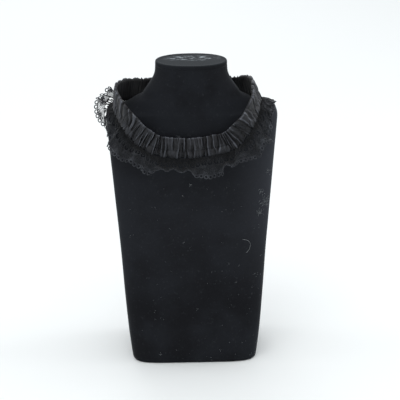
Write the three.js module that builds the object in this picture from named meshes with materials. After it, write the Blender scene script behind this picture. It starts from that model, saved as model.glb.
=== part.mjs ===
// A black ruched elastic choker with a gathered lace ruffle, set on a flat velvet-covered neck bust.
// Millimetres, +Z up, the front of the bust towards -Y, the origin in the middle of its resting face.
import * as THREE from 'three';

// Display bust
const STAND_HEIGHT = 309.5;
const SHOULDER_HEIGHT = 262;
const SHOULDER_WIDTH = 170.5;
const SHOULDER_DEPTH = 60;
const BASE_WIDTH = 129.3;
const BASE_DEPTH = 88;
const NECK_WIDTH = 70.5;
const NECK_DEPTH = 57;
const CAP_THICKNESS = 4;

// Ruched band, an elastic casing gathered all the way round
const BAND_HEIGHT = 19;
const BAND_THICKNESS = 3.2;
const FRONT_DROP = 41;
const GATHER_PITCH = 5.6;
const GATHER_DEPTH = 0.9;
const EDGE_RIPPLE = 0.7;

// Lace ruffle, sewn under the lower edge of the band
const LACE_WIDTH = 26.5;
const LACE_THICKNESS = 1;
const PUCKER_DEPTH = 0.6;
const WAVE_DEPTH = 1.5;
const WAVE_SPAN = 13;

// Clearances between pieces that rest on or are sewn to each other
const REST_GAP = 0.4;
const SEAM_GAP = 0.4;

// Facets round one level of the bust, and columns in one gather of the band
const BUST_SIDES = 48;
const COLUMNS_PER_GATHER = 3;

// Levels of the body, from the resting face up.
// climb: share of the shoulder height; spread, thick: shares of the local width and depth;
// square: exponent of the superellipse, 2 for an ellipse and more for a squarer outline.
const BODY_LEVELS = [
  { climb: 0.000, spread: 0.965, thick: 0.955, square: 6.0 },
  { climb: 0.003, spread: 0.988, thick: 0.984, square: 6.0 },
  { climb: 0.010, spread: 1.000, thick: 1.000, square: 6.0 },
  { climb: 0.500, spread: 1.000, thick: 1.000, square: 6.0 },
  { climb: 0.750, spread: 1.000, thick: 1.000, square: 5.5 },
  { climb: 0.950, spread: 1.000, thick: 1.000, square: 5.0 },
  { climb: 0.975, spread: 0.998, thick: 0.998, square: 5.0 },
  { climb: 0.988, spread: 0.992, thick: 0.993, square: 4.8 },
  { climb: 0.996, spread: 0.980, thick: 0.983, square: 4.4 },
];

// Levels of the neck, from the shoulder line to the top.
// rise: share of the way up; flare: share of the way from the neck's width out to the shoulder's;
// thick: share of the local depth; square: as above.
const NECK_LEVELS = [
  { rise: 0.00, flare: 0.950, thick: 0.970, square: 3.4 },
  { rise: 0.03, flare: 0.772, thick: 0.962, square: 3.0 },
  { rise: 0.08, flare: 0.650, thick: 0.956, square: 2.7 },
  { rise: 0.15, flare: 0.542, thick: 0.953, square: 2.5 },
  { rise: 0.23, flare: 0.425, thick: 0.952, square: 2.4 },
  { rise: 0.32, flare: 0.275, thick: 0.955, square: 2.3 },
  { rise: 0.41, flare: 0.225, thick: 0.960, square: 2.2 },
  { rise: 0.51, flare: 0.162, thick: 0.968, square: 2.2 },
  { rise: 0.62, flare: 0.100, thick: 0.976, square: 2.2 },
  { rise: 0.74, flare: 0.040, thick: 0.985, square: 2.2 },
  { rise: 0.87, flare: 0.008, thick: 0.995, square: 2.2 },
  { rise: 1.00, flare: 0.000, thick: 1.000, square: 2.2 },
];

// Levels of the cap on top of the neck. climb: share of the cap's thickness; spread: share of the neck's outline.
const CAP_LEVELS = [
  { climb: 0.00, spread: 0.985 },
  { climb: 0.15, spread: 1.000 },
  { climb: 0.70, spread: 1.000 },
  { climb: 0.92, spread: 0.985 },
  { climb: 1.00, spread: 0.955 },
];

// Where the band's lower edge lies, from the middle of the back by the -X side and the front.
// side, reach: shares of half the shoulder's width and depth; drop: share of the drop at the front,
// below the shoulder line; lean: degrees that the band opens outwards from plumb, going down.
const BAND_STATIONS = [
  { side: 0.000, reach: 1.33, drop: -0.04, lean: 6 },
  { side: -0.300, reach: 1.31, drop: -0.03, lean: 6 },
  { side: -0.550, reach: 1.10, drop: -0.05, lean: 5 },
  { side: -0.715, reach: 0.62, drop: -0.14, lean: 4 },
  { side: -0.815, reach: 0.15, drop: -0.19, lean: 3 },
  { side: -0.870, reach: -0.25, drop: -0.19, lean: 4 },
  { side: -0.885, reach: -0.60, drop: -0.14, lean: 5 },
  { side: -0.855, reach: -0.96, drop: -0.03, lean: 5 },
  { side: -0.800, reach: -1.20, drop: 0.15, lean: 0 },
  { side: -0.700, reach: -1.30, drop: 0.48, lean: -3 },
  { side: -0.550, reach: -1.30, drop: 0.77, lean: 0 },
  { side: -0.360, reach: -1.27, drop: 0.95, lean: 4 },
  { side: 0.000, reach: -1.25, drop: 1.00, lean: 4 },
  { side: 0.250, reach: -1.27, drop: 0.92, lean: 4 },
  { side: 0.470, reach: -1.29, drop: 0.80, lean: 2 },
  { side: 0.625, reach: -1.30, drop: 0.47, lean: -3 },
  { side: 0.690, reach: -1.25, drop: 0.19, lean: 0 },
  { side: 0.745, reach: -0.98, drop: -0.04, lean: 10 },
  { side: 0.775, reach: -0.45, drop: -0.19, lean: 20 },
  { side: 0.785, reach: 0.25, drop: -0.22, lean: 24 },
  { side: 0.700, reach: 0.88, drop: -0.14, lean: 14 },
  { side: 0.430, reach: 1.26, drop: -0.05, lean: 8 },
];

// The band's cross-section, in order round it. drop: share of its height from the upper edge;
// proud: share of half its thickness, outwards; gather: share of the gather's depth that shows there.
const BAND_SECTION = [
  { drop: 0.00, proud: 0.30, gather: 0.3 },
  { drop: 0.10, proud: 0.90, gather: 0.9 },
  { drop: 0.40, proud: 1.00, gather: 1.0 },
  { drop: 0.68, proud: 0.55, gather: 0.5 },
  { drop: 0.88, proud: 0.85, gather: 0.9 },
  { drop: 1.00, proud: 0.25, gather: 0.3 },
  { drop: 0.97, proud: -0.90, gather: 0.0 },
  { drop: 0.03, proud: -0.90, gather: 0.0 },
];

// The lace's folds, crest and hollow by turns, from the middle of the back by the -X side.
// along: share of the loop; fall, kick: degrees from plumb at the seam and at the hem;
// sway: degrees that the lace is swept along the band.
const LACE_FOLDS = [
  { along: 0.000, fall: 55, kick: 25, sway: 0 },
  { along: 0.035, fall: 15, kick: 40, sway: 0 },
  { along: 0.075, fall: 60, kick: 30, sway: 8 },
  { along: 0.110, fall: 20, kick: 45, sway: 0 },
  { along: 0.145, fall: 70, kick: 70, sway: -5 },
  { along: 0.180, fall: 95, kick: 128, sway: -12 },
  { along: 0.214, fall: 95, kick: 95, sway: -24 },
  { along: 0.240, fall: 80, kick: 106, sway: -32 },
  { along: 0.256, fall: 35, kick: 0, sway: 0 },
  { along: 0.298, fall: 5, kick: 20, sway: 26 },
  { along: 0.328, fall: 22, kick: 5, sway: 24 },
  { along: 0.355, fall: 20, kick: 60, sway: 12 },
  { along: 0.388, fall: 80, kick: 28, sway: 0 },
  { along: 0.412, fall: 66, kick: 35, sway: -8 },
  { along: 0.442, fall: 35, kick: 125, sway: 0 },
  { along: 0.490, fall: 35, kick: 120, sway: 4 },
  { along: 0.532, fall: 70, kick: 22, sway: 6 },
  { along: 0.560, fall: 66, kick: 25, sway: 0 },
  { along: 0.590, fall: 45, kick: 110, sway: -6 },
  { along: 0.618, fall: 80, kick: 50, sway: -10 },
  { along: 0.640, fall: 22, kick: 45, sway: 0 },
  { along: 0.665, fall: 60, kick: 15, sway: -15 },
  { along: 0.695, fall: 28, kick: 35, sway: -34 },
  { along: 0.730, fall: 52, kick: 30, sway: -42 },
  { along: 0.770, fall: 44, kick: 45, sway: -52 },
  { along: 0.810, fall: 50, kick: 42, sway: -58 },
  { along: 0.850, fall: 46, kick: 45, sway: -50 },
  { along: 0.895, fall: 56, kick: 35, sway: -22 },
  { along: 0.930, fall: 18, kick: 40, sway: -4 },
  { along: 0.965, fall: 50, kick: 30, sway: -4 },
];

// Rows of the lace from seam to hem, as shares of its width. The picot rings lie in the last row but one.
const LACE_ROWS = [0, 0.3, 0.6, 0.85, 0.955, 1];
const PICOT_ROW = LACE_ROWS.length - 3;

const UP = new THREE.Vector3(0, 0, 1);

/** Number between two others. */
function mix(from, to, share) {
  return from + (to - from) * share;
}

/** Levels of the bust as { z, halfWidth, halfDepth, square }, up to the underside of the cap. */
function bustLevels() {
  const body = BODY_LEVELS.map(({ climb, spread, thick, square }) => ({
    z: SHOULDER_HEIGHT * climb,
    halfWidth: mix(BASE_WIDTH, SHOULDER_WIDTH, climb) / 2 * spread,
    halfDepth: mix(BASE_DEPTH, SHOULDER_DEPTH, climb) / 2 * thick,
    square,
  }));
  const neckTop = STAND_HEIGHT - CAP_THICKNESS - REST_GAP;
  const neck = NECK_LEVELS.map(({ rise, flare, thick, square }) => ({
    z: mix(SHOULDER_HEIGHT, neckTop, rise),
    halfWidth: mix(NECK_WIDTH, SHOULDER_WIDTH, flare) / 2,
    halfDepth: mix(SHOULDER_DEPTH, NECK_DEPTH, rise) / 2 * thick,
    square,
  }));
  return [...body, ...neck];
}

/** Point of a superellipse level at a share of a turn. */
function levelPoint({ z, halfWidth, halfDepth, square }, turn) {
  const angle = turn * Math.PI * 2;
  const bend = (value) => Math.sign(value) * Math.abs(value) ** (2 / square);
  return new THREE.Vector3(halfWidth * bend(Math.cos(angle)), halfDepth * bend(Math.sin(angle)), z);
}

/** Geometry from points and triangles of point numbers. */
function meshOf(points, faces) {
  const geometry = new THREE.BufferGeometry();
  geometry.setAttribute('position', new THREE.Float32BufferAttribute(points.flatMap((p) => p.toArray()), 3));
  geometry.setIndex(faces.flat());
  geometry.computeVertexNormals();
  return geometry;
}

/** Closed solid through superellipse levels, flat at both ends. */
function loft(levels) {
  const points = [];
  const faces = [];
  for (const level of levels) {
    for (let side = 0; side < BUST_SIDES; side++) {
      points.push(levelPoint(level, side / BUST_SIDES));
    }
  }
  const top = (levels.length - 1) * BUST_SIDES;
  const lowCentre = points.push(new THREE.Vector3(0, 0, levels[0].z)) - 1;
  const highCentre = points.push(new THREE.Vector3(0, 0, levels[levels.length - 1].z)) - 1;
  for (let side = 0; side < BUST_SIDES; side++) {
    const next = (side + 1) % BUST_SIDES;
    for (let base = 0; base < top; base += BUST_SIDES) {
      faces.push([base + side, base + next, base + BUST_SIDES + next]);
      faces.push([base + side, base + BUST_SIDES + next, base + BUST_SIDES + side]);
    }
    faces.push([lowCentre, next, side]);
    faces.push([highCentre, top + side, top + next]);
  }
  return meshOf(points, faces);
}

const LEVELS = bustLevels();

/** The bust's level at a height, between the two rows that hold it. */
function levelAt(z) {
  const last = LEVELS.length - 1;
  let low = 0;
  while (low < last - 1 && LEVELS[low + 1].z < z) low++;
  const a = LEVELS[low];
  const b = LEVELS[low + 1];
  const share = THREE.MathUtils.clamp((z - a.z) / (b.z - a.z), 0, 1);
  return {
    halfWidth: mix(a.halfWidth, b.halfWidth, share),
    halfDepth: mix(a.halfDepth, b.halfDepth, share),
    square: mix(a.square, b.square, share),
  };
}

/** How far outside the bust's outline a point lies, as a share of the outline's size at its height. */
function outside(point) {
  const { halfWidth, halfDepth, square } = levelAt(point.z);
  const across = (Math.abs(point.x) / halfWidth) ** square;
  const through = (Math.abs(point.y) / halfDepth) ** square;
  return (across + through) ** (1 / square) - 1;
}

/** The step that takes a point out to a gap from the bust, or no step where it is clear already. */
function stepClear(point, gap) {
  const probe = 0.05;
  const slope = new THREE.Vector3();
  for (const axis of ['x', 'y', 'z']) {
    const ahead = point.clone();
    const behind = point.clone();
    ahead[axis] += probe;
    behind[axis] -= probe;
    slope[axis] = (outside(ahead) - outside(behind)) / (2 * probe);
  }
  const steepness = slope.length();
  const short = gap - outside(point) / steepness;
  return slope.multiplyScalar(Math.max(0, Math.min(short, BAND_THICKNESS)) / steepness);
}

/** Moves the points of a grid, given as columns of points, until its threads lie a gap clear of the bust.
 * The first rows may be held in place. */
function settle(grid, gap, heldRows = 0) {
  const passes = 24;
  const stops = [0, 0.25, 0.5, 0.75];
  for (let pass = 0; pass < passes; pass++) {
    grid.forEach((column, place) => {
      const beside = grid[(place + 1) % grid.length];
      column.forEach((point, row) => {
        const pairs = [[column[row + 1], row + 1], [beside[row], row]];
        for (const [other, otherRow] of pairs) {
          if (!other) continue;
          for (const stop of stops) {
            const step = stepClear(point.clone().lerp(other, stop), gap);
            if (row >= heldRows) point.addScaledVector(step, 1 - stop);
            if (otherRow >= heldRows) other.addScaledVector(step, stop);
          }
        }
      });
    });
  }
  return grid;
}

/** The band's lower edge as a closed curve through its stations. */
function seamCurve() {
  const points = BAND_STATIONS.map(({ side, reach, drop }) => new THREE.Vector3(
    side * SHOULDER_WIDTH / 2,
    reach * SHOULDER_DEPTH / 2,
    SHOULDER_HEIGHT - drop * FRONT_DROP,
  ));
  const curve = new THREE.CatmullRomCurve3(points, true, 'catmullrom');
  curve.arcLengthDivisions = 2000;
  return curve;
}

/** Value of a column in a closed table at a share of the table's length, eased from row to row. */
function easedStation(turn, column) {
  const rows = BAND_STATIONS.length;
  const place = turn * rows;
  const row = Math.floor(place) % rows;
  const share = THREE.MathUtils.smoothstep(place - Math.floor(place), 0, 1);
  return mix(BAND_STATIONS[row][column], BAND_STATIONS[(row + 1) % rows][column], share);
}

/** The fold at a share of the loop, eased between the crest and the hollow on each side of it. */
function foldAt(along) {
  const rows = LACE_FOLDS.length;
  let row = rows - 1;
  while (row > 0 && LACE_FOLDS[row].along > along) row--;
  const a = LACE_FOLDS[row];
  const b = LACE_FOLDS[(row + 1) % rows];
  const end = row === rows - 1 ? b.along + 1 : b.along;
  const share = THREE.MathUtils.smoothstep((along - a.along) / (end - a.along), 0, 1);
  return {
    fall: mix(a.fall, b.fall, share),
    kick: mix(a.kick, b.kick, share),
    sway: mix(a.sway, b.sway, share),
  };
}

/** Direction down and outwards at an angle from plumb, square to the seam. */
function slopeFrom(tangent, outward, degrees) {
  const angle = THREE.MathUtils.degToRad(degrees);
  const slope = outward.clone().multiplyScalar(Math.sin(angle)).addScaledVector(UP, -Math.cos(angle));
  return slope.addScaledVector(tangent, -slope.dot(tangent)).normalize();
}

/** Evenly spaced columns round the band, each with its seam point, directions and lean. */
function bandColumns() {
  const curve = seamCurve();
  const gathers = 2 * Math.round(curve.getLength() / GATHER_PITCH / 2);
  const count = gathers * COLUMNS_PER_GATHER;
  const columns = [];
  for (let place = 0; place < count; place++) {
    const along = place / count;
    const tangent = curve.getTangentAt(along);
    const outward = new THREE.Vector3(tangent.y, -tangent.x, 0).normalize();
    const lean = easedStation(curve.getUtoTmapping(along), 'lean');
    columns.push({ along, place, tangent, outward, seam: curve.getPointAt(along), lean });
  }
  return columns;
}

/** Averages each column with its neighbours, so that a pushed edge runs smoothly. */
function smoothed(grid) {
  return grid.map((column, place) => column.map((point, row) => {
    const before = grid[(place + grid.length - 1) % grid.length][row];
    const after = grid[(place + 1) % grid.length][row];
    return point.clone().multiplyScalar(2).add(before).add(after).multiplyScalar(0.25);
  }));
}

/** Middle surface of the band: columns of points from its upper edge to its lower edge. */
function bandSurface(columns) {
  const shares = [1, 0.5, 0];
  const gap = REST_GAP + BAND_THICKNESS / 2;
  let grid = columns.map(({ seam, tangent, outward, lean }) => {
    const down = slopeFrom(tangent, outward, lean);
    return shares.map((share) => seam.clone().addScaledVector(down, -share * BAND_HEIGHT));
  });
  grid = settle(grid, gap);
  for (let pass = 0; pass < 4; pass++) grid = smoothed(grid);
  return settle(grid, gap);
}

/** Depth of the gathers at a column: a slit, its flank and its crest, deeper and shallower by turns. */
function gatherAt(place) {
  const shape = [-1, 0.3, 0.7][place % COLUMNS_PER_GATHER];
  const gather = Math.floor(place / COLUMNS_PER_GATHER);
  return shape * (0.8 + 0.2 * Math.sin(gather * 2.4));
}

/** Closed ring of the band: its section swept round the loop, with the gathers on its outer face. */
function bandGeometry(surface) {
  const points = [];
  const faces = [];
  const sides = BAND_SECTION.length;
  surface.forEach(([upper, middle, lower], place) => {
    const next = surface[(place + 1) % surface.length][1];
    const before = surface[(place + surface.length - 1) % surface.length][1];
    const gather = gatherAt(place);
    const ripple = gather * EDGE_RIPPLE / 2;
    const down = lower.clone().sub(upper).normalize();
    const proudWay = new THREE.Vector3().crossVectors(down, next.clone().sub(before)).normalize();
    for (const { drop, proud, gather: shown } of BAND_SECTION) {
      const point = drop < 0.5
        ? upper.clone().lerp(middle, drop * 2)
        : middle.clone().lerp(lower, drop * 2 - 1);
      const bulge = proud * BAND_THICKNESS / 2 + gather * shown * GATHER_DEPTH / 2;
      point.addScaledVector(proudWay, bulge);
      if (drop === 0) point.addScaledVector(down, -ripple);
      points.push(point);
    }
  });
  surface.forEach((_, place) => {
    const here = place * sides;
    const there = ((place + 1) % surface.length) * sides;
    for (let side = 0; side < sides; side++) {
      const next = (side + 1) % sides;
      faces.push([here + side, here + next, there + next]);
      faces.push([here + side, there + next, there + side]);
    }
  });
  return meshOf(points, faces);
}

/** Middle surface of the lace: columns of points from the seam to the hem. */
function laceSurface(columns, band) {
  const seamDrop = SEAM_GAP + LACE_THICKNESS / 2;
  const gap = REST_GAP + LACE_THICKNESS / 2 + PUCKER_DEPTH / 2;
  const waves = Math.round(columns.length / COLUMNS_PER_GATHER * GATHER_PITCH / WAVE_SPAN);
  const grid = columns.map(({ tangent, outward, along }, place) => {
    const [upper, , lower] = band[place];
    const { fall, kick, sway } = foldAt(along);
    const sweep = THREE.MathUtils.degToRad(sway);
    const point = lower.clone().addScaledVector(lower.clone().sub(upper).normalize(), seamDrop);
    const column = [point];
    for (let row = 1; row < LACE_ROWS.length; row++) {
      const reached = (LACE_ROWS[row] + LACE_ROWS[row - 1]) / 2;
      const length = (LACE_ROWS[row] - LACE_ROWS[row - 1]) * LACE_WIDTH;
      const way = slopeFrom(tangent, outward, mix(fall, kick, reached))
        .multiplyScalar(Math.cos(sweep))
        .addScaledVector(tangent, Math.sin(sweep));
      column.push(column[row - 1].clone().addScaledVector(way, length));
    }
    return column;
  });
  settle(grid, gap, 1);
  return settle(rippled(grid, waves), REST_GAP + LACE_THICKNESS / 2, 1);
}

/** Unit vectors square to a grid of points, outwards. */
function squareTo(grid) {
  const count = grid.length;
  return grid.map((column, place) => column.map((point, row) => {
    const round = grid[(place + 1) % count][row].clone().sub(grid[(place + count - 1) % count][row]);
    const lower = column[Math.min(row + 1, column.length - 1)];
    const down = lower.clone().sub(column[Math.max(row - 1, 0)]);
    return new THREE.Vector3().crossVectors(down, round).normalize();
  }));
}

/** The lace with the puckers of its seam and the smaller waves of its hem. */
function rippled(grid, waves) {
  const ways = squareTo(grid);
  return grid.map((column, place) => column.map((point, row) => {
    const share = LACE_ROWS[row];
    const pucker = PUCKER_DEPTH / 2 * gatherAt(place) * Math.sin(Math.PI * Math.min(1, share * 2));
    const wave = WAVE_DEPTH * share * Math.sin(place / grid.length * waves * Math.PI * 2);
    return point.clone().addScaledVector(ways[place][row], pucker + wave);
  }));
}

/** Closed sheet of a thickness round a middle surface, cut through at every second cell of the picot row. */
function laceGeometry(grid) {
  const rows = LACE_ROWS.length;
  const count = grid.length;
  const ways = squareTo(grid);
  const points = [];
  const faces = [];
  for (const sign of [1, -1]) {
    grid.forEach((column, place) => column.forEach((point, row) => {
      points.push(point.clone().addScaledVector(ways[place][row], sign * LACE_THICKNESS / 2));
    }));
  }
  const outer = (place, row) => (place % count) * rows + row;
  const inner = (place, row) => count * rows + outer(place, row);
  const isOpen = (place, row) => row < 0 || row > rows - 2
    || (row === PICOT_ROW && (place + count) % count % 2 === 0);
  const quad = (a, b, c, d) => faces.push([a, b, c], [a, c, d]);
  for (let place = 0; place < count; place++) {
    for (let row = 0; row < rows - 1; row++) {
      if (isOpen(place, row)) continue;
      const next = place + 1;
      const below = row + 1;
      quad(outer(place, row), outer(place, below), outer(next, below), outer(next, row));
      quad(inner(place, row), inner(next, row), inner(next, below), inner(place, below));
      if (isOpen(place, row - 1)) {
        quad(outer(place, row), outer(next, row), inner(next, row), inner(place, row));
      }
      if (isOpen(place, below)) {
        quad(outer(place, below), inner(place, below), inner(next, below), outer(next, below));
      }
      if (isOpen(place - 1, row)) {
        quad(outer(place, row), inner(place, row), inner(place, below), outer(place, below));
      }
      if (isOpen(next, row)) {
        quad(outer(next, row), outer(next, below), inner(next, below), inner(next, row));
      }
    }
  }
  return meshOf(points, faces);
}

/** Levels of the cap, which takes its outline from the top of the neck. */
function capLevels() {
  const top = LEVELS[LEVELS.length - 1];
  return CAP_LEVELS.map(({ climb, spread }) => ({
    z: STAND_HEIGHT - CAP_THICKNESS * (1 - climb),
    halfWidth: top.halfWidth * spread,
    halfDepth: top.halfDepth * spread,
    square: top.square,
  }));
}

/** Named piece in one material. */
function piece(name, geometry, colour, roughness) {
  const material = new THREE.MeshStandardMaterial({ color: colour, roughness, metalness: 0 });
  const mesh = new THREE.Mesh(geometry, material);
  mesh.name = name;
  return mesh;
}

const columns = bandColumns();
const band = bandSurface(columns);
const lace = laceSurface(columns, band);

const choker = new THREE.Group();
choker.add(piece('bust_body', loft(LEVELS), 0x242629, 0.95));
choker.add(piece('neck_cap', loft(capLevels()), 0x4f5356, 0.9));
choker.add(piece('ruched_band', bandGeometry(band), 0x323337, 0.6));
choker.add(piece('lace_ruffle', laceGeometry(lace), 0x222428, 0.8));

export default choker;
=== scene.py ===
"""Looks of a black ruched choker with a gathered lace ruffle, worn by a velvet-covered neck bust.

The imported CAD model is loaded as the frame, and each of its solids is replaced by a finely made piece that
keeps the solid's sizes. Lengths are in millimetres until a mesh is made, which is in metres.
"""

import logging
import math
from dataclasses import dataclass, field
from enum import Enum

import bpy
import numpy as np
from mathutils import Matrix, Vector

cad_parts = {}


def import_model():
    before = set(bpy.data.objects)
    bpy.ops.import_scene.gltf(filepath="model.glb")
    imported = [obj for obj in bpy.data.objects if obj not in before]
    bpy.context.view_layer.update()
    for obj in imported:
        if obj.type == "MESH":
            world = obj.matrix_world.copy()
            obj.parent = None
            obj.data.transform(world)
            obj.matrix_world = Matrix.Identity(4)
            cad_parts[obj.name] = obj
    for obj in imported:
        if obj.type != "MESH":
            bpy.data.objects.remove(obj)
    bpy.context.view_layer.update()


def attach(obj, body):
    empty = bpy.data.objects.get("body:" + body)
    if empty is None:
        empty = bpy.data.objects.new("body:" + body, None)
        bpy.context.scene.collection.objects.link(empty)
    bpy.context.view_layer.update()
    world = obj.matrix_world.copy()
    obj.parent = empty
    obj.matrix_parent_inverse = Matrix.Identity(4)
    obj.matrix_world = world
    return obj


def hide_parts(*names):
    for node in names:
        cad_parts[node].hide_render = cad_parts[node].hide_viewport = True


LOG = logging.getLogger("choker")
METRE = 1000.0
FULL_TURN = 2 * np.pi
TINY = 1e-12

Tree = bpy.types.NodeTree
Socket = bpy.types.NodeSocket
Colour = tuple[float, float, float, float]

# The names that a cloth's flat map and its painted fold shade and highlight have on a mesh
CLOTH_MAP = "Cloth"
PAINTED_FOLD_LIGHT = "painted_fold_light"

# Levels of the body from the resting face up: share of the shoulder's height, shares of the local width and
# depth, and the superellipse's exponent.
BODY_LEVELS = (
    (0.000, 0.965, 0.955, 6.0),
    (0.003, 0.988, 0.984, 6.0),
    (0.010, 1.000, 1.000, 6.0),
    (0.500, 1.000, 1.000, 6.0),
    (0.750, 1.000, 1.000, 5.5),
    (0.950, 1.000, 1.000, 5.0),
    (0.975, 0.998, 0.998, 5.0),
    (0.988, 0.992, 0.993, 4.8),
    (0.996, 0.980, 0.983, 4.4),
)

# Levels of the neck from the shoulder line up: share of the way up, share of the way from the neck's width
# out to the shoulder's, share of the local depth, and the exponent.
NECK_LEVELS = (
    (0.00, 0.950, 0.970, 3.4),
    (0.03, 0.772, 0.962, 3.0),
    (0.08, 0.650, 0.956, 2.7),
    (0.15, 0.542, 0.953, 2.5),
    (0.23, 0.425, 0.952, 2.4),
    (0.32, 0.275, 0.955, 2.3),
    (0.41, 0.225, 0.960, 2.2),
    (0.51, 0.162, 0.968, 2.2),
    (0.62, 0.100, 0.976, 2.2),
    (0.74, 0.040, 0.985, 2.2),
    (0.87, 0.008, 0.995, 2.2),
    (1.00, 0.000, 1.000, 2.2),
)

# Where the band's lower edge lies, from the middle of the back by the -X side and the front: shares of half
# the shoulder's width and depth, share of the drop at the front, and the lean from plumb in degrees.
BAND_STATIONS = (
    (0.000, 1.33, -0.04, 6),
    (-0.300, 1.31, -0.03, 6),
    (-0.550, 1.10, -0.05, 5),
    (-0.715, 0.62, -0.14, 4),
    (-0.815, 0.15, -0.19, 3),
    (-0.870, -0.25, -0.19, 4),
    (-0.885, -0.60, -0.14, 5),
    (-0.855, -0.96, -0.03, 5),
    (-0.800, -1.20, 0.15, 0),
    (-0.700, -1.30, 0.48, -3),
    (-0.550, -1.30, 0.77, 0),
    (-0.360, -1.27, 0.95, 4),
    (0.000, -1.25, 1.00, 4),
    (0.250, -1.27, 0.92, 4),
    (0.470, -1.29, 0.80, 2),
    (0.625, -1.30, 0.47, -3),
    (0.690, -1.25, 0.19, 0),
    (0.745, -0.98, -0.04, 10),
    (0.775, -0.45, -0.19, 20),
    (0.785, 0.25, -0.22, 24),
    (0.700, 0.88, -0.14, 14),
    (0.430, 1.26, -0.05, 8),
)

# The band's outer face: share of its height from the upper edge, and how proud it stands as a share of half
# its thickness.
BAND_PROFILE = (
    (0.00, 0.30),
    (0.04, 0.70),
    (0.10, 0.90),
    (0.25, 1.00),
    (0.40, 1.00),
    (0.58, 0.88),
    (0.68, 0.65),
    (0.78, 0.88),
    (0.88, 0.95),
    (0.96, 0.80),
    (1.00, 0.45),
)

# The lace's folds, from the middle of the back by the -X side: share of the loop, degrees from plumb at the
# seam and at the hem, and degrees that the lace is swept along the band.
LACE_FOLDS = (
    (0.000, 55, 25, 0),
    (0.035, 15, 40, 0),
    (0.075, 60, 30, 8),
    (0.110, 20, 45, 0),
    (0.145, 70, 70, -5),
    (0.180, 95, 128, -12),
    (0.214, 95, 95, -24),
    (0.240, 80, 106, -32),
    (0.256, 35, 0, 0),
    (0.298, 5, 20, 26),
    (0.328, 22, 5, 24),
    (0.355, 20, 60, 12),
    (0.388, 80, 28, 0),
    (0.412, 66, 35, -8),
    (0.442, 35, 125, 0),
    (0.490, 35, 120, 4),
    (0.532, 70, 22, 6),
    (0.560, 66, 25, 0),
    (0.590, 45, 110, -6),
    (0.618, 80, 50, -10),
    (0.640, 22, 45, 0),
    (0.665, 60, 15, -15),
    (0.695, 28, 35, -34),
    (0.730, 52, 30, -42),
    (0.770, 44, 45, -52),
    (0.810, 50, 42, -58),
    (0.850, 46, 45, -50),
    (0.895, 56, 35, -22),
    (0.930, 18, 40, -4),
    (0.965, 50, 30, -4),
)


# Direction that the bust's front faces, leaning back a little
FRONT_FACING = (0.0, -1.0, 0.1)

# The cap's outline from its seat up over the rim: share of its thickness and share of the neck's size
CAP_PROFILE = (
    (0.00, 1.000),
    (0.30, 1.000),
    (0.62, 1.000),
    (0.80, 0.996),
    (0.90, 0.986),
    (0.96, 0.974),
    (1.00, 0.956),
    (0.98, 0.938),
    (0.93, 0.920),
    (0.90, 0.890),
)

# Fluff on the bust's front: distance from the middle plane, height, spread of the tuft, and number of fibres
LINT_MARKS = (
    (71.5, 172.5, 2.6, 34),
    (66.0, 161.0, 2.0, 20),
    (69.0, 182.0, 1.8, 10),
    (74.5, 203.0, 1.2, 10),
    (-38.0, 168.0, 0.8, 4),
    (-9.5, 180.0, 0.7, 4),
    (-2.5, 192.0, 1.0, 7),
    (-23.5, 146.0, 0.7, 3),
    (-10.0, 132.0, 0.7, 4),
    (35.5, 109.0, 0.8, 5),
    (45.5, 105.5, 0.7, 4),
    (62.5, 96.5, 1.0, 6),
    (42.5, 89.5, 0.7, 3),
    (-41.0, 58.5, 0.9, 4),
    (3.5, 60.0, 0.8, 4),
    (-35.0, 11.0, 0.9, 5),
    (26.0, 14.0, 0.8, 4),
    (58.0, 6.5, 0.9, 5),
)

# The studio's soft boxes: name, place in metres, side in metres, and power in watts
SOFT_BOXES = (
    ("key_soft_box", (-0.35, -0.8, 1.8), 0.8, 6.0),
    ("back_soft_box", (-0.4, 2.3, 1.7), 1.6, 12.0),
    ("side_soft_box", (1.3, 0.1, 0.9), 0.8, 6.0),
    ("left_soft_box", (-1.3, 0.1, 0.8), 0.8, 4.0),
)


class Slot(Enum):
    """The record's material slots."""

    BUST_VELVET = "bust_velvet"
    CAP_VELVET = "cap_velvet"
    BAND_TAFFETA = "band_taffeta"
    BLACK_LACE = "black_lace"


@dataclass(frozen=True)
class Section:
    """A thread's section, flattened against the cloth, and how the thread lies.

    Few sides are enough, because no thread is much wider than a pixel.
    """

    half_width: float
    half_height: float
    sides: int
    ring: bool = False
    lift: float = 0.0


class Thread(Enum):
    """The scene's threads. The lace's are somewhat thicker than real ones, which are too fine to show."""

    LINT = Section(0.11, 0.08, 3)
    HAIR = Section(0.12, 0.12, 4)
    STITCH = Section(0.2, 0.16, 4)
    LOOSE_END = Section(0.13, 0.13, 4)
    NET = Section(0.25, 0.14, 3)
    LEAF_FILLING = Section(0.2, 0.14, 3, lift=0.05)
    SHELL_CORD = Section(0.36, 0.26, 5, ring=True, lift=0.1)
    LEAF_CORD = Section(0.28, 0.22, 4, ring=True, lift=0.12)
    FLOWER_CENTRE = Section(0.3, 0.26, 4, ring=True, lift=0.16)
    HEM_CORD = Section(0.42, 0.32, 6, ring=True, lift=0.1)
    HEADING = Section(0.5, 0.36, 5, ring=True)
    PICOT = Section(0.58, 0.34, 5, ring=True)


# Numbers


def linear(code: str) -> Colour:
    """Turns an sRGB hex colour into linear red, green, blue and an alpha of 1."""
    parts = [int(code[at : at + 2], 16) / 255 for at in (1, 3, 5)]
    red, green, blue = (c / 12.92 if c <= 0.04045 else ((c + 0.055) / 1.055) ** 2.4 for c in parts)
    return red, green, blue, 1.0


def unit(vectors: np.ndarray) -> np.ndarray:
    """Vectors at a length of 1."""
    return vectors / np.maximum(np.linalg.norm(vectors, axis=-1, keepdims=True), TINY)


def change_round(values: np.ndarray) -> np.ndarray:
    """Change from the column before to the column after, round a closed loop."""
    return np.roll(values, -1, 0) - np.roll(values, 1, 0)


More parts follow.
